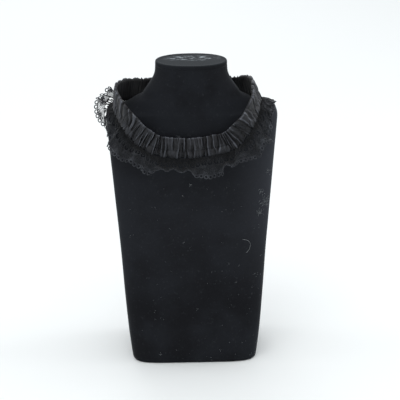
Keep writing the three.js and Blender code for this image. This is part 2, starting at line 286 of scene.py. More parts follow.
def smoothstep(share: np.ndarray) -> np.ndarray:
    """Share from 0 to 1, eased at both ends."""
    share = np.clip(share, 0, 1)
    return share * share * (3 - 2 * share)


def monotone(known: np.ndarray, values: np.ndarray, at: np.ndarray) -> np.ndarray:
    """Smooth curve through known values that never overshoots them.

    Args:
        known: rising positions.
        values: the value at each position.
        at: positions to read.

    Returns:
        The value at each position read.
    """
    span = np.diff(known)
    slope = np.diff(values) / span
    tangent = np.zeros(len(known))
    tangent[0], tangent[-1] = slope[0], slope[-1]
    before, after = slope[:-1], slope[1:]
    same = before * after > 0
    tangent[1:-1][same] = 2 * before[same] * after[same] / (before[same] + after[same])
    row = np.clip(np.searchsorted(known, at, side="right") - 1, 0, len(span) - 1)
    share = (at - known[row]) / span[row]
    square, cube = share**2, share**3
    return (
        (2 * cube - 3 * square + 1) * values[row]
        + (cube - 2 * square + share) * span[row] * tangent[row]
        + (3 * square - 2 * cube) * values[row + 1]
        + (cube - square) * span[row] * tangent[row + 1]
    )


def round_blur(grid: np.ndarray, spread: float) -> np.ndarray:
    """Gaussian average along the first axis of a closed grid.

    Args:
        grid: columns that close on themselves.
        spread: standard deviation, in columns.

    Returns:
        The averaged grid.
    """
    waves = np.fft.rfftfreq(len(grid))
    keep = np.exp(-2 * (np.pi * waves * spread) ** 2)
    shape = (-1,) + (1,) * (grid.ndim - 1)
    return np.fft.irfft(np.fft.rfft(grid, axis=0) * keep.reshape(shape), n=len(grid), axis=0)


def closed_noise(seed: int, count: int, slowest: int, fastest: int) -> np.ndarray:
    """Random wave round a loop, from about -1 to 1.

    Args:
        seed: starts the random numbers.
        count: how many columns the loop has.
        slowest: fewest waves in one turn.
        fastest: most waves in one turn.

    Returns:
        One value for each column.
    """
    rng = np.random.default_rng(seed)
    turn = np.arange(count) / count * FULL_TURN
    waves = np.arange(slowest, fastest + 1)
    phases = rng.uniform(0, FULL_TURN, len(waves))
    weights = rng.uniform(0.4, 1.0, len(waves))
    wave = (np.sin(np.outer(turn, waves) + phases) * weights).sum(1)
    return wave / (2 * wave.std())


# Meshes


@dataclass
class Surface:
    """Points and faces of a mesh, in millimetres, with a painted shade and highlight for each point.

    The painted shade runs from 0, darkest, in a fold to 1 outside it, and on to 2 for a painted highlight on
    a fold's edge.
    """

    points: np.ndarray
    faces: list[np.ndarray]
    shade: np.ndarray | None = None

    def joined(self, other: "Surface") -> "Surface":
        """This surface and another as one."""
        moved = [face + len(self.points) for face in other.faces]
        points = np.concatenate([self.points, other.points])
        return Surface(points, self.faces + moved, np.concatenate([self.shade, other.shade]))


def grid_faces(columns: int, rows: int, closed: bool = True, tube: bool = False) -> np.ndarray:
    """Quads of a grid whose points run down each column in turn.

    Args:
        columns: number of columns.
        rows: number of points in a column.
        closed: whether the last column joins the first.
        tube: whether the last row joins the first.

    Returns:
        Point numbers, four to a face.
    """
    column = np.arange(columns if closed else columns - 1)[:, None]
    row = np.arange(rows if tube else rows - 1)[None, :]
    after = (column + 1) % columns
    below = (row + 1) % rows
    corners = (column * rows + row, column * rows + below, after * rows + below, after * rows + row)
    return np.stack(np.broadcast_arrays(*corners), -1).reshape(-1, 4)


def strands(paths: np.ndarray, normals: np.ndarray, thread: Thread) -> Surface:
    """Solid threads along paths.

    Args:
        paths: threads by points by 3.
        normals: the cloth's outward direction at each point.
        thread: the threads' section.

    Returns:
        The threads' surface.
    """
    section = thread.value
    count, steps, _ = paths.shape
    if section.ring:
        tangents = unit(np.roll(paths, -1, 1) - np.roll(paths, 1, 1))
    else:
        tangents = unit(np.gradient(paths, axis=1))
    across = unit(np.cross(tangents, normals))
    lift = unit(np.cross(across, tangents))
    angles = FULL_TURN * (np.arange(section.sides) + 0.5) / section.sides
    ring = (
        across[:, :, None] * np.cos(angles)[:, None] * section.half_width
        + lift[:, :, None] * np.sin(angles)[:, None] * section.half_height
    )
    points = (paths[:, :, None] + ring).reshape(-1, 3)
    start = np.arange(count)[:, None] * steps * section.sides
    one = grid_faces(steps, section.sides, section.ring, tube=True)
    faces = [(start[:, None] + one).reshape(-1, 4)]
    if not section.ring:
        end = np.arange(section.sides)
        faces += [start + end[::-1], start + (steps - 1) * section.sides + end]
    return Surface(points, faces)


def make_object(
    name: str,
    surface: Surface,
    material: bpy.types.Material,
    flat_at: np.ndarray | None = None,
) -> bpy.types.Object:
    """Makes a smooth-shaded mesh object from a surface.

    Args:
        name: the object's name.
        surface: its points and faces in millimetres; its painted shade and highlight are kept as a point
            attribute.
        material: its material.
        flat_at: where each point lies on the flat cloth, in metres, kept as a UV map.

    Returns:
        The object, linked to the scene.
    """
    mesh = bpy.data.meshes.new(name)
    corners = np.concatenate([face.ravel() for face in surface.faces])
    sizes = np.concatenate([np.full(len(face), face.shape[1]) for face in surface.faces])
    mesh.vertices.add(len(surface.points))
    mesh.vertices.foreach_set("co", (surface.points / METRE).astype(np.float32).ravel())
    mesh.loops.add(len(corners))
    mesh.loops.foreach_set("vertex_index", corners.astype(np.int32))
    mesh.polygons.add(len(sizes))
    mesh.polygons.foreach_set("loop_start", np.concatenate([[0], np.cumsum(sizes)[:-1]]).astype(np.int32))
    mesh.polygons.foreach_set("use_smooth", np.ones(len(sizes), bool))
    if flat_at is not None:
        layer = mesh.uv_layers.new(name=CLOTH_MAP)
        layer.data.foreach_set("uv", flat_at[corners].astype(np.float32).ravel())
    shade = np.ones(len(surface.points)) if surface.shade is None else surface.shade
    values = mesh.attributes.new(PAINTED_FOLD_LIGHT, "FLOAT", "POINT")
    values.data.foreach_set("value", shade.astype(np.float32).ravel())
    mesh.update(calc_edges=True)
    mesh.validate()
    mesh.materials.append(material)
    piece = bpy.data.objects.new(name, mesh)
    bpy.context.scene.collection.objects.link(piece)
    return piece


# Finishes


def add_node(tree: Tree, kind: str, inputs: dict | None = None, **settings: object) -> bpy.types.Node:
    """Adds a node with its settings, values and links.

    Args:
        tree: the material's node tree.
        kind: the node's type name.
        inputs: from a socket's name or number to its value, or to the output linked to it.
        **settings: the node's own properties.

    Returns:
        The new node.
    """
    node = tree.nodes.new(kind)
    for name, value in settings.items():
        setattr(node, name, value)
    for socket, value in (inputs or {}).items():
        if isinstance(value, bpy.types.NodeSocket):
            tree.links.new(value, node.inputs[socket])
        else:
            node.inputs[socket].default_value = value
    return node


def new_material(name: str) -> tuple[bpy.types.Material, Tree, Socket]:
    """Empty node material, its tree, and the place on the piece that its patterns are drawn from."""
    material = bpy.data.materials.new(name)
    material.use_nodes = True
    tree = material.node_tree
    tree.nodes.clear()
    return material, tree, add_node(tree, "ShaderNodeTexCoord").outputs["Object"]


def finish_surface(tree: Tree, colour: Socket | Colour, relief: Socket, bump: tuple, look: dict) -> None:
    """Joins the colour and the fine relief to the shader, and the shader to the output.

    Args:
        tree: the material's node tree.
        colour: the base colour.
        relief: the fine relief's height.
        bump: the relief's strength, and its depth in millimetres.
        look: the shader's other values.
    """
    strength, depth_mm = bump
    normal = add_node(
        tree, "ShaderNodeBump", {"Strength": strength, "Distance": depth_mm / METRE, "Height": relief}
    ).outputs["Normal"]
    shader = add_node(tree, "ShaderNodeBsdfPrincipled", {"Base Color": colour, **look, "Normal": normal})
    add_node(tree, "ShaderNodeOutputMaterial", {"Surface": shader.outputs["BSDF"]})


# A wave texture of scale 1 turns by this many radians in each unit of length
WAVE_RADIANS = 20

# Sockets of the Mix node when it mixes colours
MIX_SHARE, MIX_FROM, MIX_TO, MIX_RESULT = 0, 6, 7, 2


@dataclass(frozen=True)
class Patches:
    """Soft-edged patches of another colour, as wear, dust or uneven dye leaves them."""

    size_mm: float
    detail: float
    roughness: float
    starts_at: float
    full_at: float
    strongest: float = 1.0

    def over(self, tree: Tree, where: Socket, ground: Socket | Colour, patch: str) -> Socket:
        """Colour of the ground with the patches on it.

        Args:
            tree: the material's node tree.
            where: the place on the piece.
            ground: the colour between the patches.
            patch: the patches' own colour.

        Returns:
            The colour of both.
        """
        noise = add_node(
            tree, "ShaderNodeTexNoise",
            {
                "Vector": where, "Scale": METRE / self.size_mm,
                "Detail": self.detail, "Roughness": self.roughness,
            },
        ).outputs["Fac"]
        share = add_node(
            tree, "ShaderNodeMapRange",
            {"Value": noise, "From Min": self.starts_at, "From Max": self.full_at, "To Max": self.strongest},
            interpolation_type="SMOOTHSTEP",
        ).outputs["Result"]
        return add_node(
            tree, "ShaderNodeMix", {MIX_SHARE: share, MIX_FROM: ground, MIX_TO: linear(patch)},
            data_type="RGBA",
        ).outputs[MIX_RESULT]


@dataclass(frozen=True)
class VelvetFinish:
    """Rayon flock velvet glued over a moulded core, dusty from use.

    The short upright pile drinks the light face on, and glows a little where it is seen edge on.
    """

    name: str = "dark_grey_flock_velvet"
    deep: str = "#151619"
    lit: str = "#1c1e22"
    shading: Patches = Patches(46.0, 4.0, 0.55, 0.36, 0.66)
    dust: str = "#4a4e51"
    dusting: Patches = Patches(3.2, 5.0, 0.72, 0.56, 0.8, 0.3)
    # Painted light on the bust: a paler pile colour towards the +X side and across the front's middle height,
    # fading out on the chest under the choker
    painted_light: str = "#2e3035"
    painted_light_side_mm: tuple[float, float] = (30.0, 92.0)
    painted_light_height_mm: tuple[float, float] = (40.0, 190.0)
    front_light_rise_mm: tuple[float, float] = (60.0, 165.0)
    front_light_fall_mm: tuple[float, float] = (236.0, 214.0)
    front_light_share: float = 0.18
    sheen: float = 0.16
    sheen_tint: str = "#c4ccd2"
    pile_mm: float = 1.1  # the real pile is 0.3 mm across, too fine to show, so it is drawn coarser

    def worn(self, tree: Tree, where: Socket, pile: Socket) -> Socket:
        """Colour of the pile with its wear, of which plain velvet has none.

        Args:
            tree: the material's node tree.
            where: the place on the bust.
            pile: the unworn pile's colour.

        Returns:
            The worn pile's colour.
        """
        return pile

    def paint_light_on_pile(self, tree: Tree, where: Socket, nap: Socket) -> Socket:
        """Painted light: a paler pile colour towards the +X side and in a band across the front, which fades
        out on the chest under the choker and leaves painted shade there.

        Args:
            tree: the material's node tree.
            where: the place on the bust.
            nap: the pile's colour.

        Returns:
            The colour with the painted light.
        """
        place = add_node(tree, "ShaderNodeSeparateXYZ", {"Vector": where})
        shares = [
            add_node(
                tree, "ShaderNodeMapRange",
                {"Value": place.outputs[axis], "From Min": low / METRE, "From Max": high / METRE},
                interpolation_type="SMOOTHSTEP",
            ).outputs["Result"]
            for axis, (low, high) in (
                ("X", self.painted_light_side_mm), ("Z", self.painted_light_height_mm),
                ("Z", self.front_light_rise_mm), ("Z", self.front_light_fall_mm),
            )
        ]
        side, front = (
            add_node(tree, "ShaderNodeMath", {0: one, 1: other}, operation="MULTIPLY").outputs["Value"]
            for one, other in (shares[:2], shares[2:])
        )
        share = add_node(
            tree, "ShaderNodeMath", {0: front, 1: self.front_light_share, 2: side}, operation="MULTIPLY_ADD"
        ).outputs["Value"]
        return add_node(
            tree, "ShaderNodeMix", {MIX_SHARE: share, MIX_FROM: nap, MIX_TO: linear(self.painted_light)},
            data_type="RGBA",
        ).outputs[MIX_RESULT]

    def material(self) -> bpy.types.Material:
        """Builds the material."""
        material, tree, where = new_material(self.name)
        nap = self.shading.over(tree, where, linear(self.deep), self.lit)
        # The pile gets its painted light first, then real dust over it
        dusty = self.dusting.over(tree, where, self.paint_light_on_pile(tree, where, nap), self.dust)
        grain = add_node(
            tree, "ShaderNodeTexNoise",
            {"Vector": where, "Scale": METRE / self.pile_mm, "Detail": 2.0, "Roughness": 0.6},
        ).outputs["Fac"]
        look = {
            "Roughness": 0.95,
            "IOR": 1.47,
            "Specular IOR Level": 0.1,
            "Sheen Weight": self.sheen,
            "Sheen Roughness": 0.3,
            "Sheen Tint": linear(self.sheen_tint),
        }
        finish_surface(tree, self.worn(tree, where, dusty), grain, (0.35, 0.4), look)
        return material


@dataclass(frozen=True)
class RubbedVelvetFinish(VelvetFinish):
    """The same flock velvet where hands have rubbed it.

    It is greyer on top and pale in streaks, with a painted highlight along the rim. Heights are above the
    resting face.
    """

    name: str = "rubbed_grey_flock_velvet"
    top_from_mm: float = 308.5
    rim_highlight_from_mm: float = 309.15
    blend_mm: float = 0.3
    rubbed: str = "#212427"
    # Colour of the painted highlight along the rim
    rim: str = "#232629"
    scuff: str = "#bac4ca"
    scuff_share: float = 0.78
    streak_mm: tuple[float, float] = (8.0, 4.0)
    scuff_centre_mm: tuple[float, float] = (1.0, 9.0)
    scuff_reach_mm: tuple[float, float] = (31.0, 13.0)

    def scuffs(self, tree: Tree, where: Socket) -> Socket:
        """Streaks that thin out away from the middle of the rubbed place.

        Args:
            tree: the material's node tree.
            where: the place on the cap.

        Returns:
            How far a place is scuffed, from 0 to the full share.
        """
        long_mm, wide_mm = self.streak_mm
        streaks = add_node(
            tree, "ShaderNodeMapping", {"Vector": where, "Scale": (METRE / long_mm, METRE / wide_mm, 0.0)}
        ).outputs["Vector"]
        rubs = add_node(
            tree, "ShaderNodeTexNoise", {"Vector": streaks, "Scale": 1.0, "Detail": 4.0, "Roughness": 0.68}
        ).outputs["Fac"]
        (middle_x, middle_y), (reach_x, reach_y) = self.scuff_centre_mm, self.scuff_reach_mm
        place = add_node(
            tree, "ShaderNodeMapping",
            {
                "Vector": where,
                "Location": (-middle_x / reach_x, -middle_y / reach_y, 0.0),
                "Scale": (METRE / reach_x, METRE / reach_y, 0.0),
            },
        ).outputs["Vector"]
        away = add_node(tree, "ShaderNodeVectorMath", {0: place}, operation="LENGTH").outputs["Value"]
        near, rubbed = (
            add_node(
                tree, "ShaderNodeMapRange",
                {"Value": value, "From Min": low, "From Max": high, "To Max": most},
                interpolation_type="SMOOTHSTEP",
            ).outputs["Result"]
            for value, low, high, most in ((away, 1.15, 0.2, 1.0), (rubs, 0.5, 0.62, self.scuff_share))
        )
        return add_node(tree, "ShaderNodeMath", {0: rubbed, 1: near}, operation="MULTIPLY").outputs["Value"]

    def worn(self, tree: Tree, where: Socket, pile: Socket) -> Socket:
        """Colour of the pile with the rubbed top, its pale streaks and the painted highlight along its rim.

        Args:
            tree: the material's node tree.
            where: the place on the cap.
            pile: the unworn pile's colour.

        Returns:
            The worn pile's colour.
        """
        height = add_node(tree, "ShaderNodeSeparateXYZ", {"Vector": where}).outputs["Z"]
        shares = [
            add_node(
                tree, "ShaderNodeMapRange",
                {"Value": height, "From Min": start / METRE, "From Max": (start + self.blend_mm) / METRE},
                interpolation_type="SMOOTHSTEP",
            ).outputs["Result"]
            for start in (self.top_from_mm, self.rim_highlight_from_mm)
        ]
        colour = pile
        # Rubbed top, then the painted highlight along the rim, then the pale scuffs
        for share, tint in zip((*shares, self.scuffs(tree, where)), (self.rubbed, self.rim, self.scuff)):
            colour = add_node(
                tree, "ShaderNodeMix", {MIX_SHARE: share, MIX_FROM: colour, MIX_TO: linear(tint)},
                data_type="RGBA",
            ).outputs[MIX_RESULT]
        return colour


@dataclass(frozen=True)
class TaffetaFinish:
    """Black polyester taffeta, plain woven and pressed into gathers.

    Its colour carries painted light: a soft grey painted highlight along the gathers' edges and along the
    upper edge, and painted shade that leaves the slits black.
    """

    name: str = "black_polyester_taffeta"
    # Colour of the painted shade in the slits
    slit: str = "#060607"
    cloth: str = "#18191d"
    worn: str = "#282a2f"
    wear: Patches = Patches(7.0, 4.0, 0.6, 0.4, 0.7)
    # Colour of the painted highlight on the gathers' edges and along the upper edge
    edge: str = "#62656d"
    slub_mm: float = 5.0265  # the weave's ribs are too fine to show, so only soft slubs are drawn
    crease_mm: float = 1.6

    def material(self) -> bpy.types.Material:
        """Builds the material, with painted shade darkest in the slits and a painted highlight on the
        gathers' edges.
        """
        material, tree, where = new_material(self.name)
        cloth_at = add_node(tree, "ShaderNodeUVMap", uv_map=CLOTH_MAP).outputs["UV"]
        # The mesh's painted shade and highlight: 0 in a slit, 1 on the plain cloth, 2 for a painted highlight
        crest = add_node(tree, "ShaderNodeAttribute", attribute_name=PAINTED_FOLD_LIGHT).outputs["Fac"]
        painted_highlight_share = add_node(
            tree, "ShaderNodeMapRange", {"Value": crest, "From Min": 1.0, "From Max": 2.0}
        ).outputs["Result"]
        faded = self.wear.over(tree, where, linear(self.cloth), self.worn)
        colour = linear(self.slit)
        for share, tint in ((crest, faded), (painted_highlight_share, linear(self.edge))):
            colour = add_node(
                tree, "ShaderNodeMix", {MIX_SHARE: share, MIX_FROM: colour, MIX_TO: tint}, data_type="RGBA"
            ).outputs[MIX_RESULT]
        scale = METRE * FULL_TURN / self.slub_mm / WAVE_RADIANS
        slubs = add_node(
            tree, "ShaderNodeTexWave",
            {"Vector": cloth_at, "Scale": scale, "Distortion": 1.5, "Detail": 1.0},
            wave_type="BANDS", bands_direction="X",
        ).outputs["Fac"]
        crease = add_node(
            tree, "ShaderNodeTexNoise",
            {"Vector": where, "Scale": METRE / self.crease_mm, "Detail": 3.0, "Roughness": 0.6},
        ).outputs["Fac"]
        relief = add_node(tree, "ShaderNodeMath", {0: slubs, 1: crease}, operation="ADD").outputs["Value"]
        look = {
            "Roughness": 0.55,
            "IOR": 1.5,
            "Specular IOR Level": 0.3,
            "Sheen Weight": 0.05,
            "Sheen Roughness": 0.4,
        }
        finish_surface(tree, colour, relief, (0.3, 0.25), look)
        return material


@dataclass(frozen=True)
class ThreadFinish:
    """Dyed spun thread, matt, with a faint fuzz that pales where it is seen edge on."""

    name: str
    colour: str
    pale: str
    roughness: float = 0.82
    # Colour of the painted shade
    fold: str = "#08090a"
    dye: Patches = Patches(9.0, 3.0, 0.6, 0.42, 0.68)
    twist_mm: float = 0.9  # one turn of the real twist is 0.5 mm long, so it is drawn coarser

    def material(self) -> bpy.types.Material:
        """Builds the material, darkened by painted shade where the lace lies under the band and behind a
        turned-up hem.
        """
        material, tree, where = new_material(self.name)
        dyed = self.dye.over(tree, where, linear(self.colour), self.pale)
        # How far the point is out of the painted shade
        unshaded = add_node(tree, "ShaderNodeAttribute", attribute_name=PAINTED_FOLD_LIGHT).outputs["Fac"]
        colour = add_node(
            tree, "ShaderNodeMix", {MIX_SHARE: unshaded, MIX_FROM: linear(self.fold), MIX_TO: dyed},
            data_type="RGBA",
        ).outputs[MIX_RESULT]
        twist = add_node(
            tree, "ShaderNodeTexNoise",
            {"Vector": where, "Scale": METRE / self.twist_mm, "Detail": 2.0, "Roughness": 0.5},
        ).outputs["Fac"]
        look = {
            "Roughness": self.roughness,
            "IOR": 1.5,
            "Specular IOR Level": 0.2,
            "Sheen Weight": 0.05,
            "Sheen Roughness": 0.5,
        }
        finish_surface(tree, colour, twist, (0.4, 0.2), look)
        return material


@dataclass(frozen=True)
class FloorFinish:
    """Matt white painted board, rolled, which shows only the bust's soft shadow."""

    name: str = "matt_white_board"
    colour: str = "#ebeeee"
    stipple_mm: float = 2.0

    def material(self) -> bpy.types.Material:
        """Builds the material."""
        material, tree, where = new_material(self.name)
        stipple = add_node(
            tree, "ShaderNodeTexNoise", {"Vector": where, "Scale": METRE / self.stipple_mm, "Detail": 2.0}
        ).outputs["Fac"]
        finish_surface(tree, linear(self.colour), stipple, (0.05, 0.2), {"Roughness": 0.9, "IOR": 1.5})
        return material


# The bust


@dataclass
class BustForm:
    """The bust's outline: superellipse levels whose sizes change with height."""

    stand_height: float = 309.5
    shoulder_height: float = 262.0
    shoulder_width: float = 170.5
    shoulder_depth: float = 60.0
    base_width: float = 129.3
    base_depth: float = 88.0
    neck_width: float = 70.5
    neck_depth: float = 57.0
    cap_thickness: float = 4.0
    rest_gap: float = 0.4
    level_step: float = 0.4
    levels: np.ndarray = field(init=False)

    def __post_init__(self) -> None:
        """Works out the smooth levels once."""
        rows = []
        for climb, spread, thick, square in BODY_LEVELS:
            width = self.base_width + (self.shoulder_width - self.base_width) * climb
            depth = self.base_depth + (self.shoulder_depth - self.base_depth) * climb
            rows.append((self.shoulder_height * climb, width / 2 * spread, depth / 2 * thick, square))
        for rise, flare, thick, square in NECK_LEVELS:
            width = self.neck_width + (self.shoulder_width - self.neck_width) * flare
            depth = self.shoulder_depth + (self.neck_depth - self.shoulder_depth) * rise
            height = self.shoulder_height + (self.neck_top - self.shoulder_height) * rise
            rows.append((height, width / 2, depth / 2 * thick, square))
        known = np.array(rows)
        heights = np.arange(0, self.neck_top, self.level_step)
        heights = np.unique(np.concatenate([heights, known[:, 0]]))
        smooth = [monotone(known[:, 0], known[:, column], heights) for column in (1, 2, 3)]
        self.levels = np.column_stack([heights, *smooth])

    @property
    def neck_top(self) -> float:
        """Height of the neck's top, under the cap."""
        return self.stand_height - self.cap_thickness - self.rest_gap

    def level_at(self, height: np.ndarray) -> tuple[np.ndarray, np.ndarray, np.ndarray]:
        """Half width, half depth and exponent at a height."""
        half_width, half_depth, square = (
            np.interp(height, self.levels[:, 0], self.levels[:, column]) for column in (1, 2, 3)
        )
        return half_width, half_depth, square

    def outside(self, points: np.ndarray) -> np.ndarray:
        """How far outside the outline points lie, as a share of its size at their height."""
        half_width, half_depth, square = self.level_at(points[..., 2])
        across = (np.abs(points[..., 0]) / half_width) ** square
        through = (np.abs(points[..., 1]) / half_depth) ** square
        return (across + through) ** (1 / square) - 1

    def cleared(self, points: np.ndarray, gap: float, passes: int) -> np.ndarray:
        """Moves points out until they lie a gap clear of the bust.

        Args:
            points: points of a cloth.
            gap: the least distance from the bust.
            passes: how often each point is looked at.

        Returns:
            The moved points.
        """
        probe = 0.05
        farthest_step = 3.2
        for _ in range(passes):
            nudges = np.eye(3) * probe
            rise = [self.outside(points + nudge) - self.outside(points - nudge) for nudge in nudges]
            slope = np.stack(rise, -1) / (2 * probe)
            steepness = np.linalg.norm(slope, axis=-1) + TINY
            short = np.clip(gap - self.outside(points) / steepness, 0, farthest_step)
            points = points + slope * (short / steepness)[..., None]
        return points

    def ring(self, height: float, count: int, spread: float = 1.0) -> np.ndarray:
        """Evenly spaced points round one level.

        Args:
            height: the level's height.
            count: how many points.
            spread: share of the level's size.

        Returns:
            The points, from the +X side by +Y.
        """
        half_width, half_depth, square = (float(value) for value in self.level_at(np.array(height)))
        angle = np.linspace(0, 2 * np.pi, 1441)
        cosine, sine = np.cos(angle), np.sin(angle)
        x = half_width * spread * np.sign(cosine) * np.abs(cosine) ** (2 / square)
        y = half_depth * spread * np.sign(sine) * np.abs(sine) ** (2 / square)
        length = np.concatenate([[0], np.cumsum(np.hypot(np.diff(x), np.diff(y)))])
        at = np.arange(count) / count * length[-1]
        return np.column_stack([np.interp(at, length, x), np.interp(at, length, y), np.full(count, height)])

    def front_points(self, side: np.ndarray, height: np.ndarray, proud: float) -> np.ndarray:
        """Points on the bust's front.

        Args:
            side: distances from the middle plane.
            height: heights above the resting face.
            proud: distance out from the velvet.

        Returns:
            The points.
        """
        half_width, half_depth, square = self.level_at(height)
        through = np.clip(1 - (np.abs(side) / half_width) ** square, 0, 1) ** (1 / square)
        return np.stack([side, -half_depth * through - proud, height], -1)


def capped_loft(rings: np.ndarray) -> Surface:
    """Closed surface through rings, with a fan at each end.

    Args:
        rings: rings by points by 3, from the bottom up.

    Returns:
        The surface.
    """
    count = rings.shape[1]
    columns = rings.transpose(1, 0, 2)
    rows = rings.shape[0]
    faces = grid_faces(count, rows, True)[:, ::-1]
    points = np.concatenate([columns.reshape(-1, 3), rings[0].mean(0)[None], rings[-1].mean(0)[None]])
    here = np.arange(count) * rows
    after = np.roll(here, -1)
    low = np.stack([np.full(count, count * rows), after, here], 1)
    high = np.stack([np.full(count, count * rows + 1), here + rows - 1, after + rows - 1], 1)
    return Surface(points, [faces, low, high])


@dataclass
class DisplayBust:
    """The neck and shoulder bust: velvet body, top cap, and the lint that lies on the velvet."""

    form: BustForm
    columns: int = 288
    row_step: float = 2.0
    foot_heights: tuple[float, ...] = (0.0, 0.3, 0.8, 1.6, 2.6)
    shoulder_span: tuple[float, float] = (6.0, 3.0)
    shoulder_step: float = 0.5
    dimple: float = 0.22
    loose_fibres: int = 85
    seed: int = 5
    velvet: VelvetFinish = VelvetFinish()
    worn_velvet: RubbedVelvetFinish = RubbedVelvetFinish()
    lint_finish: ThreadFinish = ThreadFinish("white_cotton_lint", "#5f6467", "#8d9294", 0.9)
    hair_finish: ThreadFinish = ThreadFinish("grey_hair", "#8d9194", "#a9adb0", 0.5)

    def heights(self) -> np.ndarray:
        """Heights of the body's rings, closer together at its rounded edges."""
        below, above = self.shoulder_span
        plain = np.arange(4.0, self.form.neck_top - 1, self.row_step)
        foot = np.array(self.foot_heights)
        shoulder = np.arange(
            self.form.shoulder_height - below, self.form.shoulder_height + above, self.shoulder_step
        )
        top = np.array([self.form.neck_top - 0.5, self.form.neck_top])
        return np.unique(np.round(np.concatenate([foot, plain, shoulder, top]), 2))

    def body(self) -> bpy.types.Object:
        """Velvet-covered body and neck."""
        rings = np.stack([self.form.ring(height, self.columns) for height in self.heights()])
        turn = np.arange(self.columns) / self.columns * 2 * np.pi
        height = rings[:, :, 2]
        swell = (
            np.sin(turn * 5 + height / 37) * np.sin(height / 23 + 1)
            + 0.6 * np.sin(turn * 11 - height / 19) * np.sin(height / 13)
        )
        fade = smoothstep(height / 12) * smoothstep((self.form.shoulder_height - height) / 14)
        way = unit(rings * np.array([1.0, 1.6, 0.0]))
        rings = rings - way * (self.dimple * (1 + swell / 1.6) / 2 * fade)[..., None]
        piece = make_object("velvet_bust", capped_loft(rings), self.velvet.material())
        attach(piece, "root")
        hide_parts("bust_body")
        return piece

    def cap(self) -> bpy.types.Object:
        """Flat cap on the neck, wrapped in the same velvet, with a rolled rim and a faintly sunk top."""
        low = self.form.neck_top
        thickness = self.form.stand_height - low
        sunk_top = [(0.885 + 0.01 * (1 - share), 0.88 * share) for share in (0.9, 0.75, 0.55, 0.35, 0.15)]
        rings = []
        for climb, spread in (*CAP_PROFILE, *sunk_top):
            ring = self.form.ring(self.form.neck_top, self.columns, spread)
            ring[:, 2] = low + thickness * climb
            rings.append(ring)
        piece = make_object("cap_velvet_top", capped_loft(np.stack(rings)), self.worn_velvet.material())
        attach(piece, "root")
        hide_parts("neck_cap")
        return piece

    def fibres(self, starts: np.ndarray, reach: np.ndarray, rng: np.random.Generator) -> Surface:
        """Short bent fibres that lie on the bust's front.

        Args:
            starts: side and height of each fibre's start.
            reach: length of each fibre.
            rng: random numbers.

        Returns:
            The fibres' surface.
        """
        steps = 6
        heading = rng.uniform(0, 2 * np.pi, len(starts))
        bend = rng.normal(0, 1.1, len(starts))
        turned = heading[:, None] + bend[:, None] * np.linspace(0, 1, steps)[None, :]
        stride = reach[:, None] / steps
        side = starts[:, 0:1] + np.cumsum(np.cos(turned) * stride, 1)
        height = np.clip(starts[:, 1:2] + np.cumsum(np.sin(turned) * stride, 1), 1.0, None)
        half_width = self.form.level_at(height)[0]
        side = np.clip(side, -half_width + 1, half_width - 1)
        paths = self.form.front_points(side, height, 0.16)
        normals = np.broadcast_to(np.array(FRONT_FACING), paths.shape)
        return strands(paths, normals, Thread.LINT)

    def lint(self) -> bpy.types.Object:
        """Tufts of fluff and single fibres on the velvet."""
        rng = np.random.default_rng(self.seed)
        starts, reach = [], []
        for side, height, spread, count in LINT_MARKS:
            starts.append(rng.normal(0, spread * 0.8, (count, 2)) + [side, height])
            reach.append(rng.uniform(0.6, 1.5, count) * spread * 1.3)
        side = 1 - 2 * rng.uniform(0, 1, self.loose_fibres) ** 1.6
        height = rng.uniform(3, self.form.shoulder_height - 60, self.loose_fibres)
        half_width = self.form.level_at(height)[0] - 2
        starts.append(np.column_stack([side * half_width, height]))
        reach.append(rng.uniform(0.4, 1.6, self.loose_fibres))
        surface = self.fibres(np.concatenate(starts), np.concatenate(reach), rng)
        piece = make_object("velvet_lint", surface, self.lint_finish.material())
        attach(piece, "root")
        return piece

    def hair(self) -> bpy.types.Object:
        """One curled hair on the velvet."""
        turn = np.linspace(-0.42 * np.pi, 0.55 * np.pi, 26)
        side = 50.5 + 6.4 * np.cos(turn) + 0.5 * np.sin(turn * 3)
        height = 126.3 + 7.2 * np.sin(turn)
        path = self.form.front_points(side, height, 0.2)[None]
        normals = np.broadcast_to(np.array(FRONT_FACING), path.shape)
        hair = strands(path, normals, Thread.HAIR)
        piece = make_object("curled_hair", hair, self.hair_finish.material())
        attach(piece, "root")
        return piece

    def build(self) -> list[bpy.types.Object]:
        """Builds the bust's pieces."""
        return [self.body(), self.cap(), self.lint(), self.hair()]


# The choker's loop


